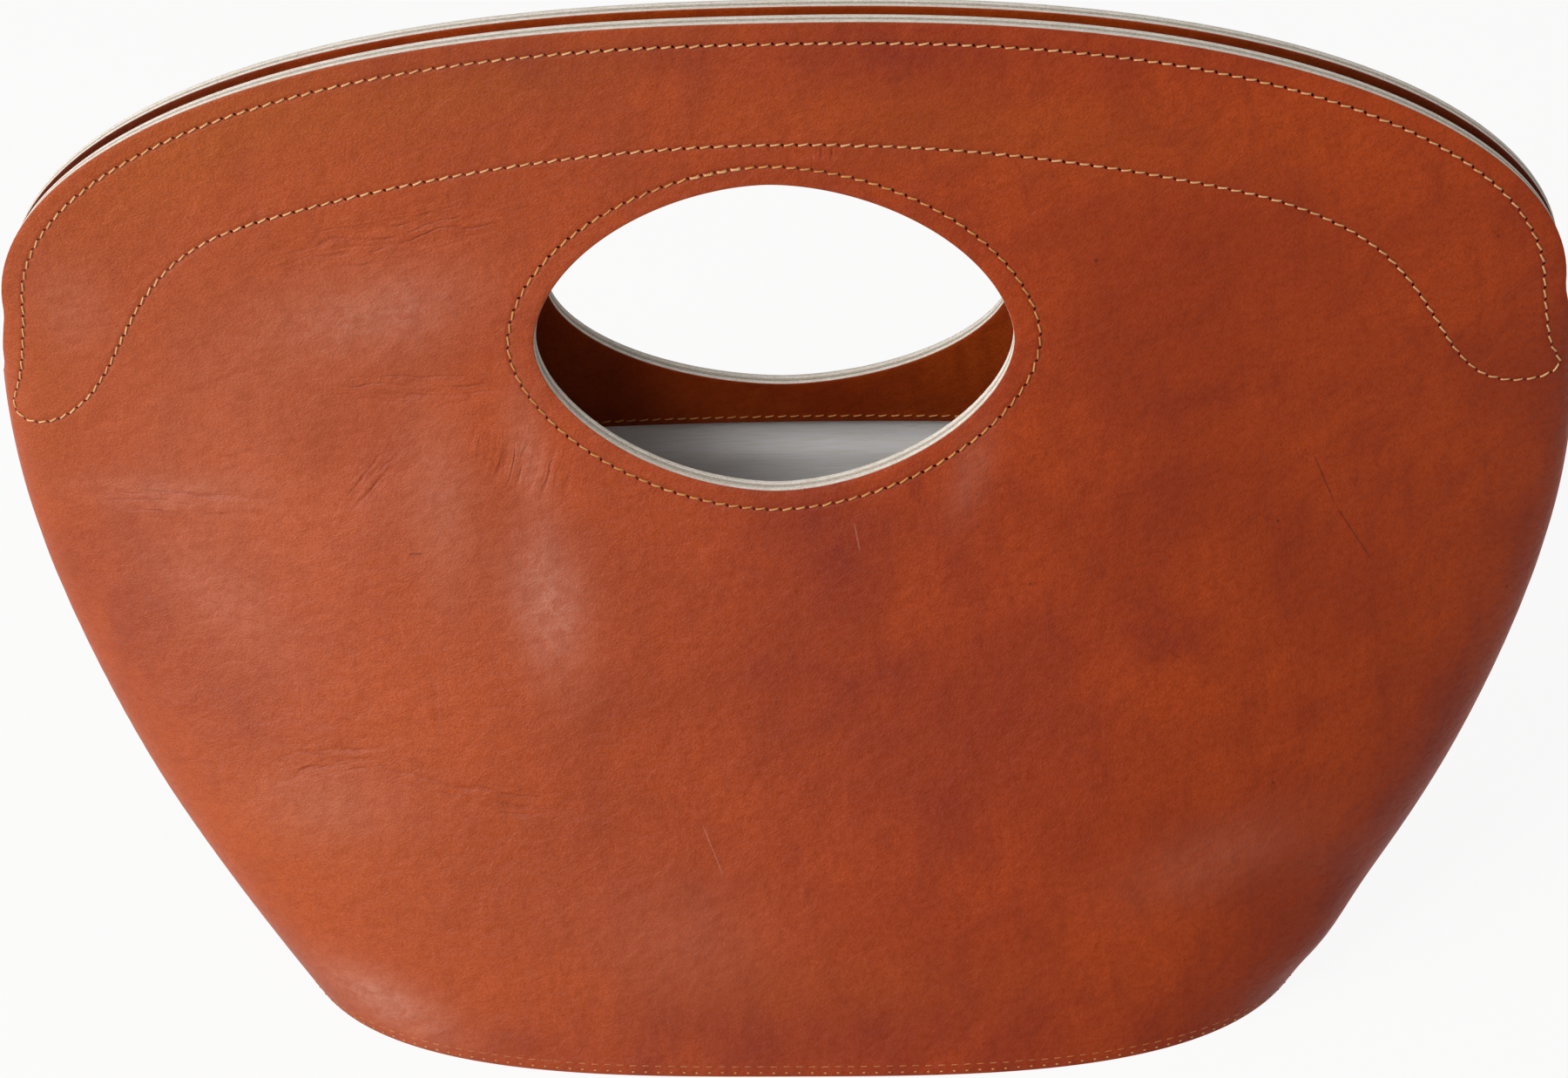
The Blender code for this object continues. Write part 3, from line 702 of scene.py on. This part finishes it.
def sewn_row(name, holes, side, below, facing_out, material, thread=THREAD, slant=0.28, proud=0.12, only=None,
             short=1.0):
    """Threads between consecutive needle holes, each slanted, plump in its middle and pulled down at its ends.
    Slant and proud are in millimetres, and short is the thread's length against the usual one."""
    bm = bmesh.new()
    holes = np.asarray(holes)
    shape = coordinates(STITCH)
    lift = 1 if facing_out else -1
    strands = []
    for i, (start, end) in enumerate(zip(holes[:-1], holes[1:])):
        if only and i not in only:
            continue
        first = len(bm.verts)
        bm.from_mesh(STITCH)
        bm.verts.ensure_lookup_table()
        length = np.linalg.norm(end - start)
        ahead = (end - start) / length
        across = np.array([-ahead[1], ahead[0]])
        chance = [noise.noise(Vector((i * 0.73 + k, holes[0][0] * 90, 2.0 + thread * 900))) for k in (0, 40, 80)]
        reach = 0.5 + 0.02 * chance[1] + short * (STITCH_SHARE + 0.06 * chance[0]) * (shape[:, 0] - 0.5)
        tilt = (slant * (1 + 0.7 * chance[0]) * (2 * shape[:, 0] - 1) + 0.1 * chance[2]) * MM
        arc = proud * MM - STITCH_DROP * np.abs(2 * shape[:, 0] - 1) ** 4
        width = thread * (1 + 0.14 * chance[1])
        flat = start + ahead * (length * reach)[:, None] + across * (tilt + shape[:, 1] * width)[:, None]
        depth = below - lift * (arc + shape[:, 2] * width)
        placed = wrapped(flat[:, 0], depth, flat[:, 1], side)
        for vert, place in zip(bm.verts[first:], placed):
            vert.co = place
        turn = np.arctan2(shape[:, 2], shape[:, 1])
        strands.append(np.stack([shape[:, 0] * length / MM, turn, np.full(len(shape), chance[2])], -1))
    # The back and the inner faces mirror the template, which turns its faces inwards
    if (side > 0) == facing_out:
        bmesh.ops.reverse_faces(bm, faces=bm.faces)
    obj = finish_mesh(name, bm, [material], sharp=180)
    add_attribute(obj.data, "strand", np.concatenate(strands))
    return obj


# Materials

EASED = {"interpolation_type": "SMOOTHSTEP"}


def linear(code):
    """Linear colour of an sRGB hex value."""
    parts = [int(code[i : i + 2], 16) / 255 for i in (1, 3, 5)]
    return tuple(p / 12.92 if p <= 0.04045 else ((p + 0.055) / 1.055) ** 2.4 for p in parts) + (1.0,)


def add_node(tree, kind, *inputs, out=0, **named):
    """Adds a node and gives its output. Inputs come in order or by a capitalised name, settings in lower case."""
    node = tree.nodes.new("ShaderNode" + kind)
    for word, value in named.items():
        if word[0].islower():
            setattr(node, word, value)
    places = dict(enumerate(inputs))
    places.update((word, value) for word, value in named.items() if word[0].isupper())
    for place, value in places.items():
        if isinstance(value, bpy.types.NodeSocket):
            tree.links.new(value, node.inputs[place])
        elif value is not None:
            node.inputs[place].default_value = value
    return node.outputs if out is None else node.outputs[out]


def new_material(name, roughness, specular=0.5):
    material = bpy.data.materials.new(name)
    material.use_nodes = True
    tree = material.node_tree
    shader = tree.nodes["Principled BSDF"]
    shader.inputs["Roughness"].default_value = roughness
    shader.inputs["Specular IOR Level"].default_value = specular
    return material, tree, shader


def finish_surface(tree, shader, colour, height):
    """Gives the shader its colour and its relief in millimetres."""
    relief = add_node(tree, "Bump", Strength=1.0, Distance=MM, Height=height)
    tree.links.new(relief, shader.inputs["Normal"])
    tree.links.new(colour, shader.inputs["Base Color"])


def pattern_place(tree, own_place=False):
    """Place in millimetres on the flat pattern, or in the frame for a piece that has no pattern."""
    if own_place:
        place = add_node(tree, "TexCoord", out="Object")
        return add_node(tree, "Mapping", place, None, None, (MM, MM, MM), vector_type="TEXTURE")
    return add_node(tree, "Attribute", attribute_name="pattern", out="Vector")


def stored(tree, name):
    """The three values that the mesh stores at each point under a name."""
    values = add_node(tree, "Attribute", attribute_name=name, out="Vector")
    return tuple(add_node(tree, "SeparateXYZ", values, out=None))


def mottling(tree, place, size, turn=0, detail=2.0, roughness=0.5, distortion=0.0, at=(0, 0, 0)):
    """Cloudy pattern, its blots of a size in millimetres and turned along the hide by some degrees."""
    spot = add_node(tree, "Mapping", place, at, (0, 0, math.radians(turn)), size, vector_type="TEXTURE")
    return add_node(tree, "TexNoise", spot, Scale=1.0, Detail=detail, Roughness=roughness, Distortion=distortion)


def varied(tree, value, pattern, low, high, bare=0.0, full=1.0):
    """Value weighed by a share that eases from bare to full while a pattern rises from low to high."""
    share = add_node(tree, "MapRange", pattern, low, high, bare, full, **EASED)
    return add_node(tree, "Math", value, share, operation="MULTIPLY")


def glaze(tree, colour, tone, pattern, low=None, high=None, bare=0.0, full=1.0):
    """Lays a tone over the colour: by the pattern itself, or easing while it rises from low to high."""
    if low is None:
        share = add_node(tree, "Math", pattern, full, operation="MULTIPLY")
    else:
        share = add_node(tree, "MapRange", pattern, low, high, bare, full, **EASED)
    under, over = (linear(value) if isinstance(value, str) else value for value in (colour, tone))
    return add_node(tree, "Mix", share, *[None] * 5, under, over, data_type="RGBA", out=2)


def total(tree, *parts):
    """Sum of (value, weight) pairs."""
    result = 0.0
    for value, weight in parts:
        result = add_node(tree, "Math", value, weight, result, operation="MULTIPLY_ADD")
    return result


def row_marks(tree, name):
    """Along one sewn row: how deep the leather is drawn in, and how far a point is inside a needle hole."""
    across, along, _ = stored(tree, name)
    ahead = add_node(tree, "Math", along, 0.5, operation="ADD")
    phase = add_node(tree, "Math", ahead, operation="FRACT")
    phase = add_node(tree, "Math", phase, 0.5, operation="SUBTRACT")
    beside = add_node(tree, "Math", phase, STITCH_PITCH / MM / 1.25, operation="MULTIPLY")
    # Each hole is a slit set askew to the row
    spot = add_node(tree, "CombineXYZ", beside, across)
    askew = (0, 0, math.radians(NEEDLE_TURN))
    slit = add_node(tree, "Mapping", spot, (0.06, NEEDLE_SHIFT, 0), askew, (0.45, 0.28, 1), vector_type="TEXTURE")
    reach = add_node(tree, "VectorMath", slit, operation="LENGTH", out="Value")
    hole = add_node(tree, "MapRange", reach, 0.6, 1.15, 1.0, 0.0, **EASED)
    apart = add_node(tree, "Math", across, operation="ABSOLUTE")
    groove = add_node(tree, "MapRange", apart, 0.15, 1.3, 1.0, 0.0, **EASED)
    return groove, hole


def grain_relief(tree, place):
    """Pebbles of the grain, 0.7 mm and a little longer along the hide, hair cells, and soft wrinkles of 3 mm."""
    pebbles = mottling(tree, place, (0.72, 0.46, 0.6), 26, 2.0, 0.5, 0.25)
    spot = add_node(tree, "Mapping", place, None, (0, 0, math.radians(28)), (1.0, 0.7, 0.8), vector_type="TEXTURE")
    cells = add_node(tree, "TexVoronoi", spot, Scale=1.0, Smoothness=0.45, feature="SMOOTH_F1", out="Distance")
    wrinkles = mottling(tree, place, (4.6, 2.6, 3), 22, 3.0, 0.55, 0.6)
    return pebbles, cells, wrinkles


def pits(tree, place, cell, share, low, high):
    """Round scars scattered over the hide: about one in each patch of the given share of the cells."""
    spot = add_node(tree, "Mapping", place, None, None, (cell,) * 3, vector_type="TEXTURE")
    cells = add_node(tree, "TexVoronoi", spot, Scale=1.0, feature="F1", out=None)
    chance = add_node(tree, "SeparateXYZ", cells["Color"])
    from_middle = add_node(tree, "Math", cells["Distance"], cell, operation="MULTIPLY")
    picked = add_node(tree, "Math", chance, share, operation="LESS_THAN")
    return varied(tree, picked, from_middle, low, high, 1.0, 0.0)


def strokes(tree, place, lines):
    """Straight scratches with soft ends, each given as (run, height), length, width and turn."""
    result = 0.0
    for at, length, width, turn in lines:
        spot = add_node(tree, "Mapping", place, (*at, 0), (0, 0, math.radians(turn)), vector_type="TEXTURE")
        along, beside, _ = add_node(tree, "SeparateXYZ", spot, out=None)
        along = add_node(tree, "Math", along, operation="ABSOLUTE")
        beside = add_node(tree, "Math", beside, operation="ABSOLUTE")
        line = add_node(tree, "MapRange", beside, width * 0.4, width, 1.0, 0.0, **EASED)
        line = varied(tree, line, along, length * 0.3, length * 0.5, 1.0, 0.0)
        result = add_node(tree, "Math", result, line, operation="MAXIMUM")
    return result


def crease_lines(tree):
    """Soft folds, and broken fine lines 3.5 mm apart that run along each zone's own direction."""
    along, across, amount = stored(tree, "creases")
    zone = add_node(tree, "MapRange", amount, 0.1, 0.8, 0.0, 1.0, **EASED)
    spot = add_node(tree, "CombineXYZ", along, across)
    fold = varied(tree, zone, mottling(tree, spot, (24, 5, 1), 0, 2.0, 0.5, 0.7), 0.3, 0.65, 1.0, 0.0)
    drift = mottling(tree, spot, (20, 8, 1), 0, 2.0, 0.5, 0.0, (3, 50, 0))
    drift = add_node(tree, "Math", drift, 3.2, operation="MULTIPLY")
    phase = add_node(tree, "Math", across, 1 / 3.5, drift, operation="MULTIPLY_ADD")
    phase = add_node(tree, "Math", phase, 2 * math.pi, operation="MULTIPLY")
    wave = add_node(tree, "Math", phase, operation="SINE")
    broken = mottling(tree, spot, (12, 3.2, 1), 0, 3.0, 0.55, 0.0, (7, 9, 0))
    furrow = varied(tree, varied(tree, zone, wave, 0.1, 1.0), broken, 0.4, 0.62)
    return fold, furrow


# Scratches: (run, height), length, half width and turn
FRONT_CUTS = (((147.5, 151), 17, 0.3, -66), ((156.5, 134.6), 22, 0.3, -57), ((-100, 137.8), 4.5, 0.4, 6))
FRONT_SCUFFS = (((21, 143), 9, 0.3, -80), ((-21, 60), 16, 0.25, -68))


def tan_leather(name, rows=(), marked=False, tones=("#923308", "#a53e0c", "#7c2609", "#c9917e"), own_place=False,
                specular=0.27, relief=1.0, shaded_towards_seams=False):
    """Vegetable-tanned shoulder, dyed and waxed: fine slanted grain, cloudy dye, creases, scars and a low sheen, with
    painted sheen on polished patches and painted shade in crease furrows, sewn grooves, needle holes and towards
    edges.
    """
    material, tree, shader = new_material(name, 0.5, specular)
    place = pattern_place(tree, own_place)
    run, up, _ = add_node(tree, "SeparateXYZ", place, out=None)
    dark, light, deep, sheen_and_scuff_tone = tones
    # Cloudy dye: patches of 60 mm and 20 mm, streaks along the hide and a fine mottle
    clouds = mottling(tree, place, (62, 48, 60), 14, 3.0, 0.55)
    patches = mottling(tree, place, (17, 24, 20), -16, 4.0, 0.62, 0.4)
    streaks = mottling(tree, place, (5, 34, 20), 8, 3.0, 0.6)
    mottle = mottling(tree, place, (2.2, 1.6, 2), 0, 3.0, 0.7)
    colour = glaze(tree, dark, light, clouds, 0.34, 0.66)
    colour = glaze(tree, colour, deep, patches, 0.46, 0.74, full=0.46)
    colour = glaze(tree, colour, deep, streaks, 0.5, 0.74, full=0.34)
    colour = glaze(tree, colour, deep, mottle, 0.46, 0.74, full=0.34)
    pebbles, cells, wrinkles = grain_relief(tree, place)
    dents = mottling(tree, place, (11, 7, 9), 18, 2.0, 0.5, 0.4)
    if marked:
        stain_and_shade, polish_and_painted_sheen, amber = stored(tree, "marks")
        # The hide is more orange towards the left and in a few places
        colour = glaze(tree, colour, "#b0541f", run, -150, 70, 0.5, 0.0)
        colour = glaze(tree, colour, "#a2500f", amber, full=0.6)
    colour = glaze(tree, colour, deep, pebbles, 0.34, 0.62, 0.38, 0.0)
    colour = glaze(tree, colour, deep, wrinkles, 0.35, 0.6, 0.16, 0.0)
    if marked:
        # Rubbed smoother towards the base
        pebbles = varied(tree, pebbles, up, 0, 100, 0.45, 1.0)
    height = total(tree, (pebbles, 0.19), (cells, -0.05), (wrinkles, 0.2), (dents, 0.5), (patches, 0.6))
    height = add_node(tree, "Math", height, relief, operation="MULTIPLY")
    if marked:
        # Stains, and painted shade along the wall's top, base and sides
        stain_and_shade = varied(tree, stain_and_shade, patches, 0.25, 0.7, 0.35, 1.1)
        colour = glaze(tree, colour, "#701d10", stain_and_shade, full=0.55)
        # Polish lowers the roughness below, and the same patches are lightened towards a pale pink as a painted sheen
        polish_and_painted_sheen = varied(tree, varied(tree, polish_and_painted_sheen, mottle, 0.3, 0.7, 0.5, 1.0), wrinkles, 0.3, 0.7, 0.6, 1.1)
        colour = glaze(tree, colour, sheen_and_scuff_tone, polish_and_painted_sheen, full=0.52)
        fold, furrow = crease_lines(tree)
        # Painted shade in the furrows of the creases
        colour = glaze(tree, colour, "#7a2410", furrow, full=0.26)
        # Insect bites and healed scars, most of them on the right
        large, small = pits(tree, place, 17, 0.34, 0.3, 1.0), pits(tree, place, 7.5, 0.10, 0.1, 0.6)
        scars = add_node(tree, "Math", large, small, operation="MAXIMUM")
        scars = varied(tree, scars, run, -40, 110, 0.2, 0.9)
        halo = varied(tree, pits(tree, place, 17, 0.34, 0.8, 3.2), run, -40, 110, 0.2, 0.9)
        colour = glaze(tree, colour, deep, halo, full=0.3)
        colour = glaze(tree, colour, "#4a1409", scars, full=0.8)
        cuts = strokes(tree, place, FRONT_CUTS)
        colour = glaze(tree, colour, "#541808", cuts, full=0.5)
        colour = glaze(tree, colour, sheen_and_scuff_tone, strokes(tree, place, FRONT_SCUFFS), full=0.2)
        height = total(tree, (height, 1.0), (fold, -0.3), (furrow, -0.2), (scars, -0.12), (cuts, -0.08))
        rough = total(tree, (polish_and_painted_sheen, -0.10), (clouds, 0.10), (scars, 0.2))
        rough = add_node(tree, "Math", rough, 0.46, operation="ADD")
        tree.links.new(rough, shader.inputs["Roughness"])
    if shaded_towards_seams:
        # Painted shade: darkened towards the side seams
        apart = add_node(tree, "Math", run, operation="ABSOLUTE")
        colour = glaze(tree, colour, "#3a1005", apart, 85, 175, 0.0, 0.75)
    gloss = varied(tree, specular, mottle, 0.3, 0.7, 1.15, 0.75)
    if marked:
        # Handled more on the left, where it has polished up
        gloss = varied(tree, gloss, run, -90, 130, 1.1, 0.7)
    for row in rows:
        groove, hole = row_marks(tree, row)
        hole = varied(tree, hole, clouds, 0.36, 0.6, 0.55, 1.0)
        # Painted shade: darker along the sewn groove, and near black in the needle holes
        colour = glaze(tree, colour, "#7a2410", groove, full=0.22)
        colour = glaze(tree, colour, "#1d0804", hole, full=0.97)
        height = total(tree, (height, 1.0), (groove, -0.16), (hole, -0.4))
        solid = add_node(tree, "Math", 1.0, hole, operation="SUBTRACT")
        gloss = add_node(tree, "Math", gloss, solid, operation="MULTIPLY")
    tree.links.new(gloss, shader.inputs["Specular IOR Level"])
    finish_surface(tree, shader, colour, height)
    return material


def cut_edge(name, grain_at, grain_depth):
    """Raw cut through the leather: dyed skin on the grain side, pale fibres in layers below it."""
    material, tree, shader = new_material(name, 0.85, 0.2)
    place = pattern_place(tree)
    depth = stored(tree, "pattern")[2]
    fibres = mottling(tree, place, (3.5, 3.5, 0.2), 0, 4.0, 0.75)
    lumps = mottling(tree, place, (0.6, 0.6, 0.5), 0, 3.0, 0.6)
    colour = glaze(tree, "#cdc1b2", "#fbf5ea", fibres, 0.3, 0.7)
    colour = glaze(tree, colour, "#a08d7c", lumps, 0.5, 0.75, full=0.6)
    skin = (grain_at, grain_depth, 1.0, 0.0) if grain_depth > grain_at else (grain_depth, grain_at, 0.0, 1.0)
    colour = glaze(tree, colour, "#8a4526", depth, *skin)
    finish_surface(tree, shader, colour, total(tree, (fibres, 0.14), (lumps, 0.14)))
    return material


def flesh_side():
    """Split underside of the leather: short brushed fibres."""
    material, tree, shader = new_material("flesh_side_split_leather", 0.95, 0.2)
    place = pattern_place(tree)
    nap = mottling(tree, place, (1.2, 0.3, 1), 60, 4.0, 0.7)
    finish_surface(tree, shader, glaze(tree, "#8d6040", "#b88b66", nap, 0.3, 0.7), total(tree, (nap, 0.15)))
    return material


def fibre_board(name, own_place=False):
    """Bonded leather fibre board: grey-brown, matt and flecked."""
    material, tree, shader = new_material(name, 0.9, 0.2)
    place = pattern_place(tree, own_place)
    flecks = mottling(tree, place, (0.7, 0.5, 0.2), 0, 4.0, 0.75)
    finish_surface(tree, shader, glaze(tree, "#978b7d", "#d6cbbb", flecks, 0.3, 0.7), total(tree, (flecks, 0.08)))
    return material


def woven_cotton():
    """Plain-woven cotton, near white, with threads of 0.55 mm and a few slubs."""
    material, tree, shader = new_material("plain_woven_cotton", 0.92, 0.15)
    place = pattern_place(tree)
    weave = 1.0
    for value in stored(tree, "pattern")[:2]:
        turns = add_node(tree, "Math", value, 2 * math.pi / 0.55, operation="MULTIPLY")
        threads = add_node(tree, "Math", turns, operation="SINE")
        weave = add_node(tree, "Math", weave, threads, operation="MULTIPLY")
    slubs = mottling(tree, place, (9, 0.6, 1), 0, 3.0, 0.6)
    colour = glaze(tree, "#ffffff", "#f6f2ea", slubs, 0.35, 0.75)
    finish_surface(tree, shader, colour, total(tree, (weave, 0.025), (slubs, 0.08)))
    return material


def waxed_thread(name, dull, bright, worn):
    """Two-ply waxed linen thread: slanted plies and a little fuzz, with painted shade in the grooves between the
    plies.
    """
    material, tree, shader = new_material(name, 0.55, 0.35)
    along, around, wear = stored(tree, "strand")
    place = add_node(tree, "Attribute", attribute_name="strand", out="Vector")
    ply = total(tree, (along, 1.25), (around, 1 / math.pi))
    ply = add_node(tree, "Math", ply, operation="FRACT")
    ply = add_node(tree, "Math", ply, 0.5, operation="SUBTRACT")
    ply = add_node(tree, "Math", ply, operation="ABSOLUTE")
    groove = add_node(tree, "MapRange", ply, 0.0, 0.22, 1.0, 0.0, **EASED)
    fuzz = mottling(tree, place, (0.5, 0.25, 1), 0, 3.0, 0.7)
    colour = glaze(tree, dull, bright, fuzz, 0.3, 0.75)
    colour = glaze(tree, colour, worn, wear, -0.4, 0.5, full=0.45)
    # Painted shade in the grooves between the plies
    colour = glaze(tree, colour, "#7a4526", groove, full=0.6)
    finish_surface(tree, shader, colour, total(tree, (groove, -0.06), (fuzz, 0.03)))
    return material


# Assembly

def bend_with_flap(obj):
    """Bakes the object's transform into its mesh."""
    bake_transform(obj)


def build_side(word, side, stuff):
    """Layers, lining and sewn rows of the front (side -1) or the back (side 1)."""
    band, ring = band_loop(side), ring_loop(side)
    wall_stuff = (stuff["tan"], stuff["wall_cut"], stuff["flesh"])
    facing_stuff = (stuff["facing"], stuff["facing_cut"], stuff["flesh"])
    rows = (("band_row", band), ("ring_row", ring))
    wall = leather_layer(word + "_wall", wall_sheet(0.0), side, WALL_LAYER, wall_stuff, rows, marked=True)
    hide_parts(word + "_panel_lower", word + "_panel_flap")
    inner_sheet = wall_sheet(FACING_FOOT)
    facing = leather_layer(word + "_facing", inner_sheet, side, FACING_LAYER, facing_stuff, grain_inside=True)
    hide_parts(word + "_facing_lower", word + "_facing_flap")
    board = (stuff["board"],) * 3
    reinforcement = leather_layer(word + "_hole_ring", ring_sheet(), side, MIDDLE_LAYER, board, rounding=0)
    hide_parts(word + "_hole_ring_lower", word + "_hole_ring_upper")
    crescent = leather_layer(word + "_band", band_sheet(side), side, MIDDLE_LAYER, board, rounding=0)
    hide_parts(word + "_flap_band")

    band_holes = evenly(band, STITCH_PITCH, closed=True)
    ring_holes = evenly(ring, STITCH_PITCH, closed=True)
    edge_holes = evenly(edge_row(), STITCH_PITCH)
    cream, gold, inner_face = stuff["thread"], stuff["gold"], FACING_LAYER[1]
    twice = (THREAD * 1.25, -0.1, 0.32, range(4))
    flap_rows = [
        sewn_row(word + "_band_stitches", band_holes, side, 0.0, True, cream),
        sewn_row(word + "_ring_stitches", ring_holes, side, 0.0, True, gold),
        sewn_row(word + "_doubled_stitches", ring_holes, side, 0.0, True, cream, *twice),
        sewn_row(word + "_inner_edge_stitches", edge_holes, side, inner_face, False, cream),
    ]
    for obj in [wall, facing, reinforcement, crescent] + flap_rows:
        bend_with_flap(obj)

    lining, flat, area = lining_piece(word + "_cotton_lining", side, stuff["cotton"])
    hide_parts(word + "_lining")
    level_holes = level_row(LEVEL_ROW_HEIGHT, 4 * MM)
    base_holes, bead_holes = level_row(BASE_ROW_HEIGHT, 2 * MM), level_row(BEAD_ROW_HEIGHT, 2 * MM)
    sunk, beads = (THREAD * 0.7, 0.05, -0.11), (THREAD * 0.75, 0.0, 0.0)
    low_rows = [
        sewn_row(word + "_level_stitches", level_holes, side, inner_face, False, gold),
        sewn_row(word + "_base_stitches", base_holes, side, 0.0, True, stuff["dyed"], *sunk, short=1.1),
        sewn_row(word + "_base_beads", bead_holes, side, 0.0, True, gold, *beads, short=0.35),
    ]
    for obj in [lining] + low_rows:
        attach(obj, "bag_body")


def dress_base(stuff):
    """Leather and board of the frame's own pieces, and the cover on the board."""
    for name in ("base_panel", "base_welt", "base_board", "left_seam_tape", "right_seam_tape"):
        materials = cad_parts[name].data.materials
        materials.clear()
        materials.append(stuff["base_board" if name == "base_board" else "base"])
    cover, flat, area = cover_piece(stuff["cotton"])
    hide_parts("base_lining")
    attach(cover, "bag_body")


CAMERA_AZIMUTH, CAMERA_ELEVATION, CAMERA_ROLL = (math.radians(angle) for angle in (4.06, 34.72, -3.05))
CAMERA_DISTANCE = 883.11 * MM
CAMERA_AIM = (-1.12 * MM, 0, 119.71 * MM)
CAMERA_LENS = 71.645


def place_camera():
    """Camera of the photograph: 883 mm from the bag, 35 degrees above it, a touch to the right and tilted."""
    azimuth, elevation, roll = CAMERA_AZIMUTH, CAMERA_ELEVATION, CAMERA_ROLL
    level = Vector((math.cos(azimuth), math.sin(azimuth), 0))
    back = Vector((level.y * math.cos(elevation), -level.x * math.cos(elevation), math.sin(elevation)))
    above = back.cross(level)
    right = level * math.cos(roll) + above * math.sin(roll)
    up = above * math.cos(roll) - level * math.sin(roll)
    data = bpy.data.cameras.new("camera")
    data.sensor_width = 36
    data.lens = CAMERA_LENS
    data.clip_start = 0.05
    camera = bpy.data.objects.new("camera", data)
    bpy.context.scene.collection.objects.link(camera)
    turn = Matrix((right, up, back)).transposed()
    camera.matrix_world = Matrix.Translation(Vector(CAMERA_AIM) + back * CAMERA_DISTANCE) @ turn.to_4x4()
    bpy.context.scene.camera = camera


def add_lamp(name, place, aim, size, power):
    data = bpy.data.lights.new(name, "AREA")
    data.shape = "RECTANGLE"
    data.size, data.size_y = size
    data.energy = power
    lamp = bpy.data.objects.new(name, data)
    bpy.context.scene.collection.objects.link(lamp)
    lamp.location = place
    lamp.rotation_mode = "QUATERNION"
    lamp.rotation_quaternion = (Vector(aim) - Vector(place)).to_track_quat("-Z", "Y")


def seen_directly(tree):
    """1 for the camera's own rays and for what gloss and glass show of them."""
    path = add_node(tree, "LightPath", out=None)
    shown = add_node(tree, "Math", path["Is Camera Ray"], path["Is Glossy Ray"], operation="MAXIMUM")
    return add_node(tree, "Math", shown, path["Is Transmission Ray"], operation="MAXIMUM")


def light_the_scene():
    """Plain soft studio: a large lamp at the upper left in front, a low window at the left, a white surround that
    lights less than it shows."""
    world = bpy.data.worlds.new("studio")
    bpy.context.scene.world = world
    world.use_nodes = True
    tree = world.node_tree
    strength = add_node(tree, "MapRange", seen_directly(tree), 0.0, 1.0, 0.36, 1.0)
    tree.nodes["Background"].inputs["Color"].default_value = (1, 1, 1, 1)
    tree.links.new(strength, tree.nodes["Background"].inputs["Strength"])
    add_lamp("key", (-1.05, -1.25, 1.55), (0, 0, 0.12), (0.9, 0.8), 26)
    add_lamp("window", (-1.75, -0.8, 0.6), (0, 0, 0.12), (1.3, 1.0), 22)


def lay_floor():
    """Seamless pale paper: matt, it takes a soft shadow and goes almost white to the camera."""
    bm = bmesh.new()
    bmesh.ops.create_circle(bm, cap_ends=True, segments=96, radius=4.0)
    material, tree, shader = new_material("pale_paper_floor", 0.95, 0.1)
    shader.inputs["Base Color"].default_value = linear("#d2cfcb")
    glow = add_node(tree, "Emission", (1, 1, 1, 1), 1.0)
    share = add_node(tree, "Math", seen_directly(tree), 0.92, operation="MULTIPLY")
    mixed = add_node(tree, "MixShader", share, shader.outputs[0], glow)
    tree.links.new(mixed, tree.nodes["Material Output"].inputs["Surface"])
    floor = finish_mesh("floor", bm, [material])


def main():
    """Makes the finishes, then the bag's two sides, its base and the studio."""
    bpy.context.scene.view_settings.view_transform = "Standard"
    stuff = {
        "tan": tan_leather("tan_veg_leather_waxed", ("band_row", "ring_row"), marked=True),
        "wall_cut": cut_edge("raw_cut_edge_wall", 0.0, 0.4),
        "facing_cut": cut_edge("raw_cut_edge_facing", 4.8, 4.4),
        "flesh": flesh_side(),
        "facing": tan_leather(
            "brown_facing_leather", tones=("#95340a", "#a3410e", "#742406", "#a0603c"), specular=0.15, relief=0.5,
            shaded_towards_seams=True,
        ),
        "base": tan_leather(
            "tan_base_leather", tones=("#7d2c0c", "#943c16", "#6a220c", "#a0603c"), own_place=True, specular=0.3
        ),
        "board": fibre_board("bonded_leather_board"),
        "base_board": fibre_board("bonded_leather_board_base", own_place=True),
        "thread": waxed_thread("waxed_linen_thread_cream", "#d19a5e", "#efc695", "#c2874e"),
        "gold": waxed_thread("waxed_linen_thread_gold", "#c28340", "#e0a868", "#a86b32"),
        "dyed": waxed_thread("waxed_linen_thread_dyed", "#b06028", "#cf8850", "#96481c"),
        "cotton": woven_cotton(),
    }
    for word, side in (("front", -1), ("back", 1)):
        build_side(word, side, stuff)
    dress_base(stuff)
    lay_floor()
    light_the_scene()
    place_camera()


main()
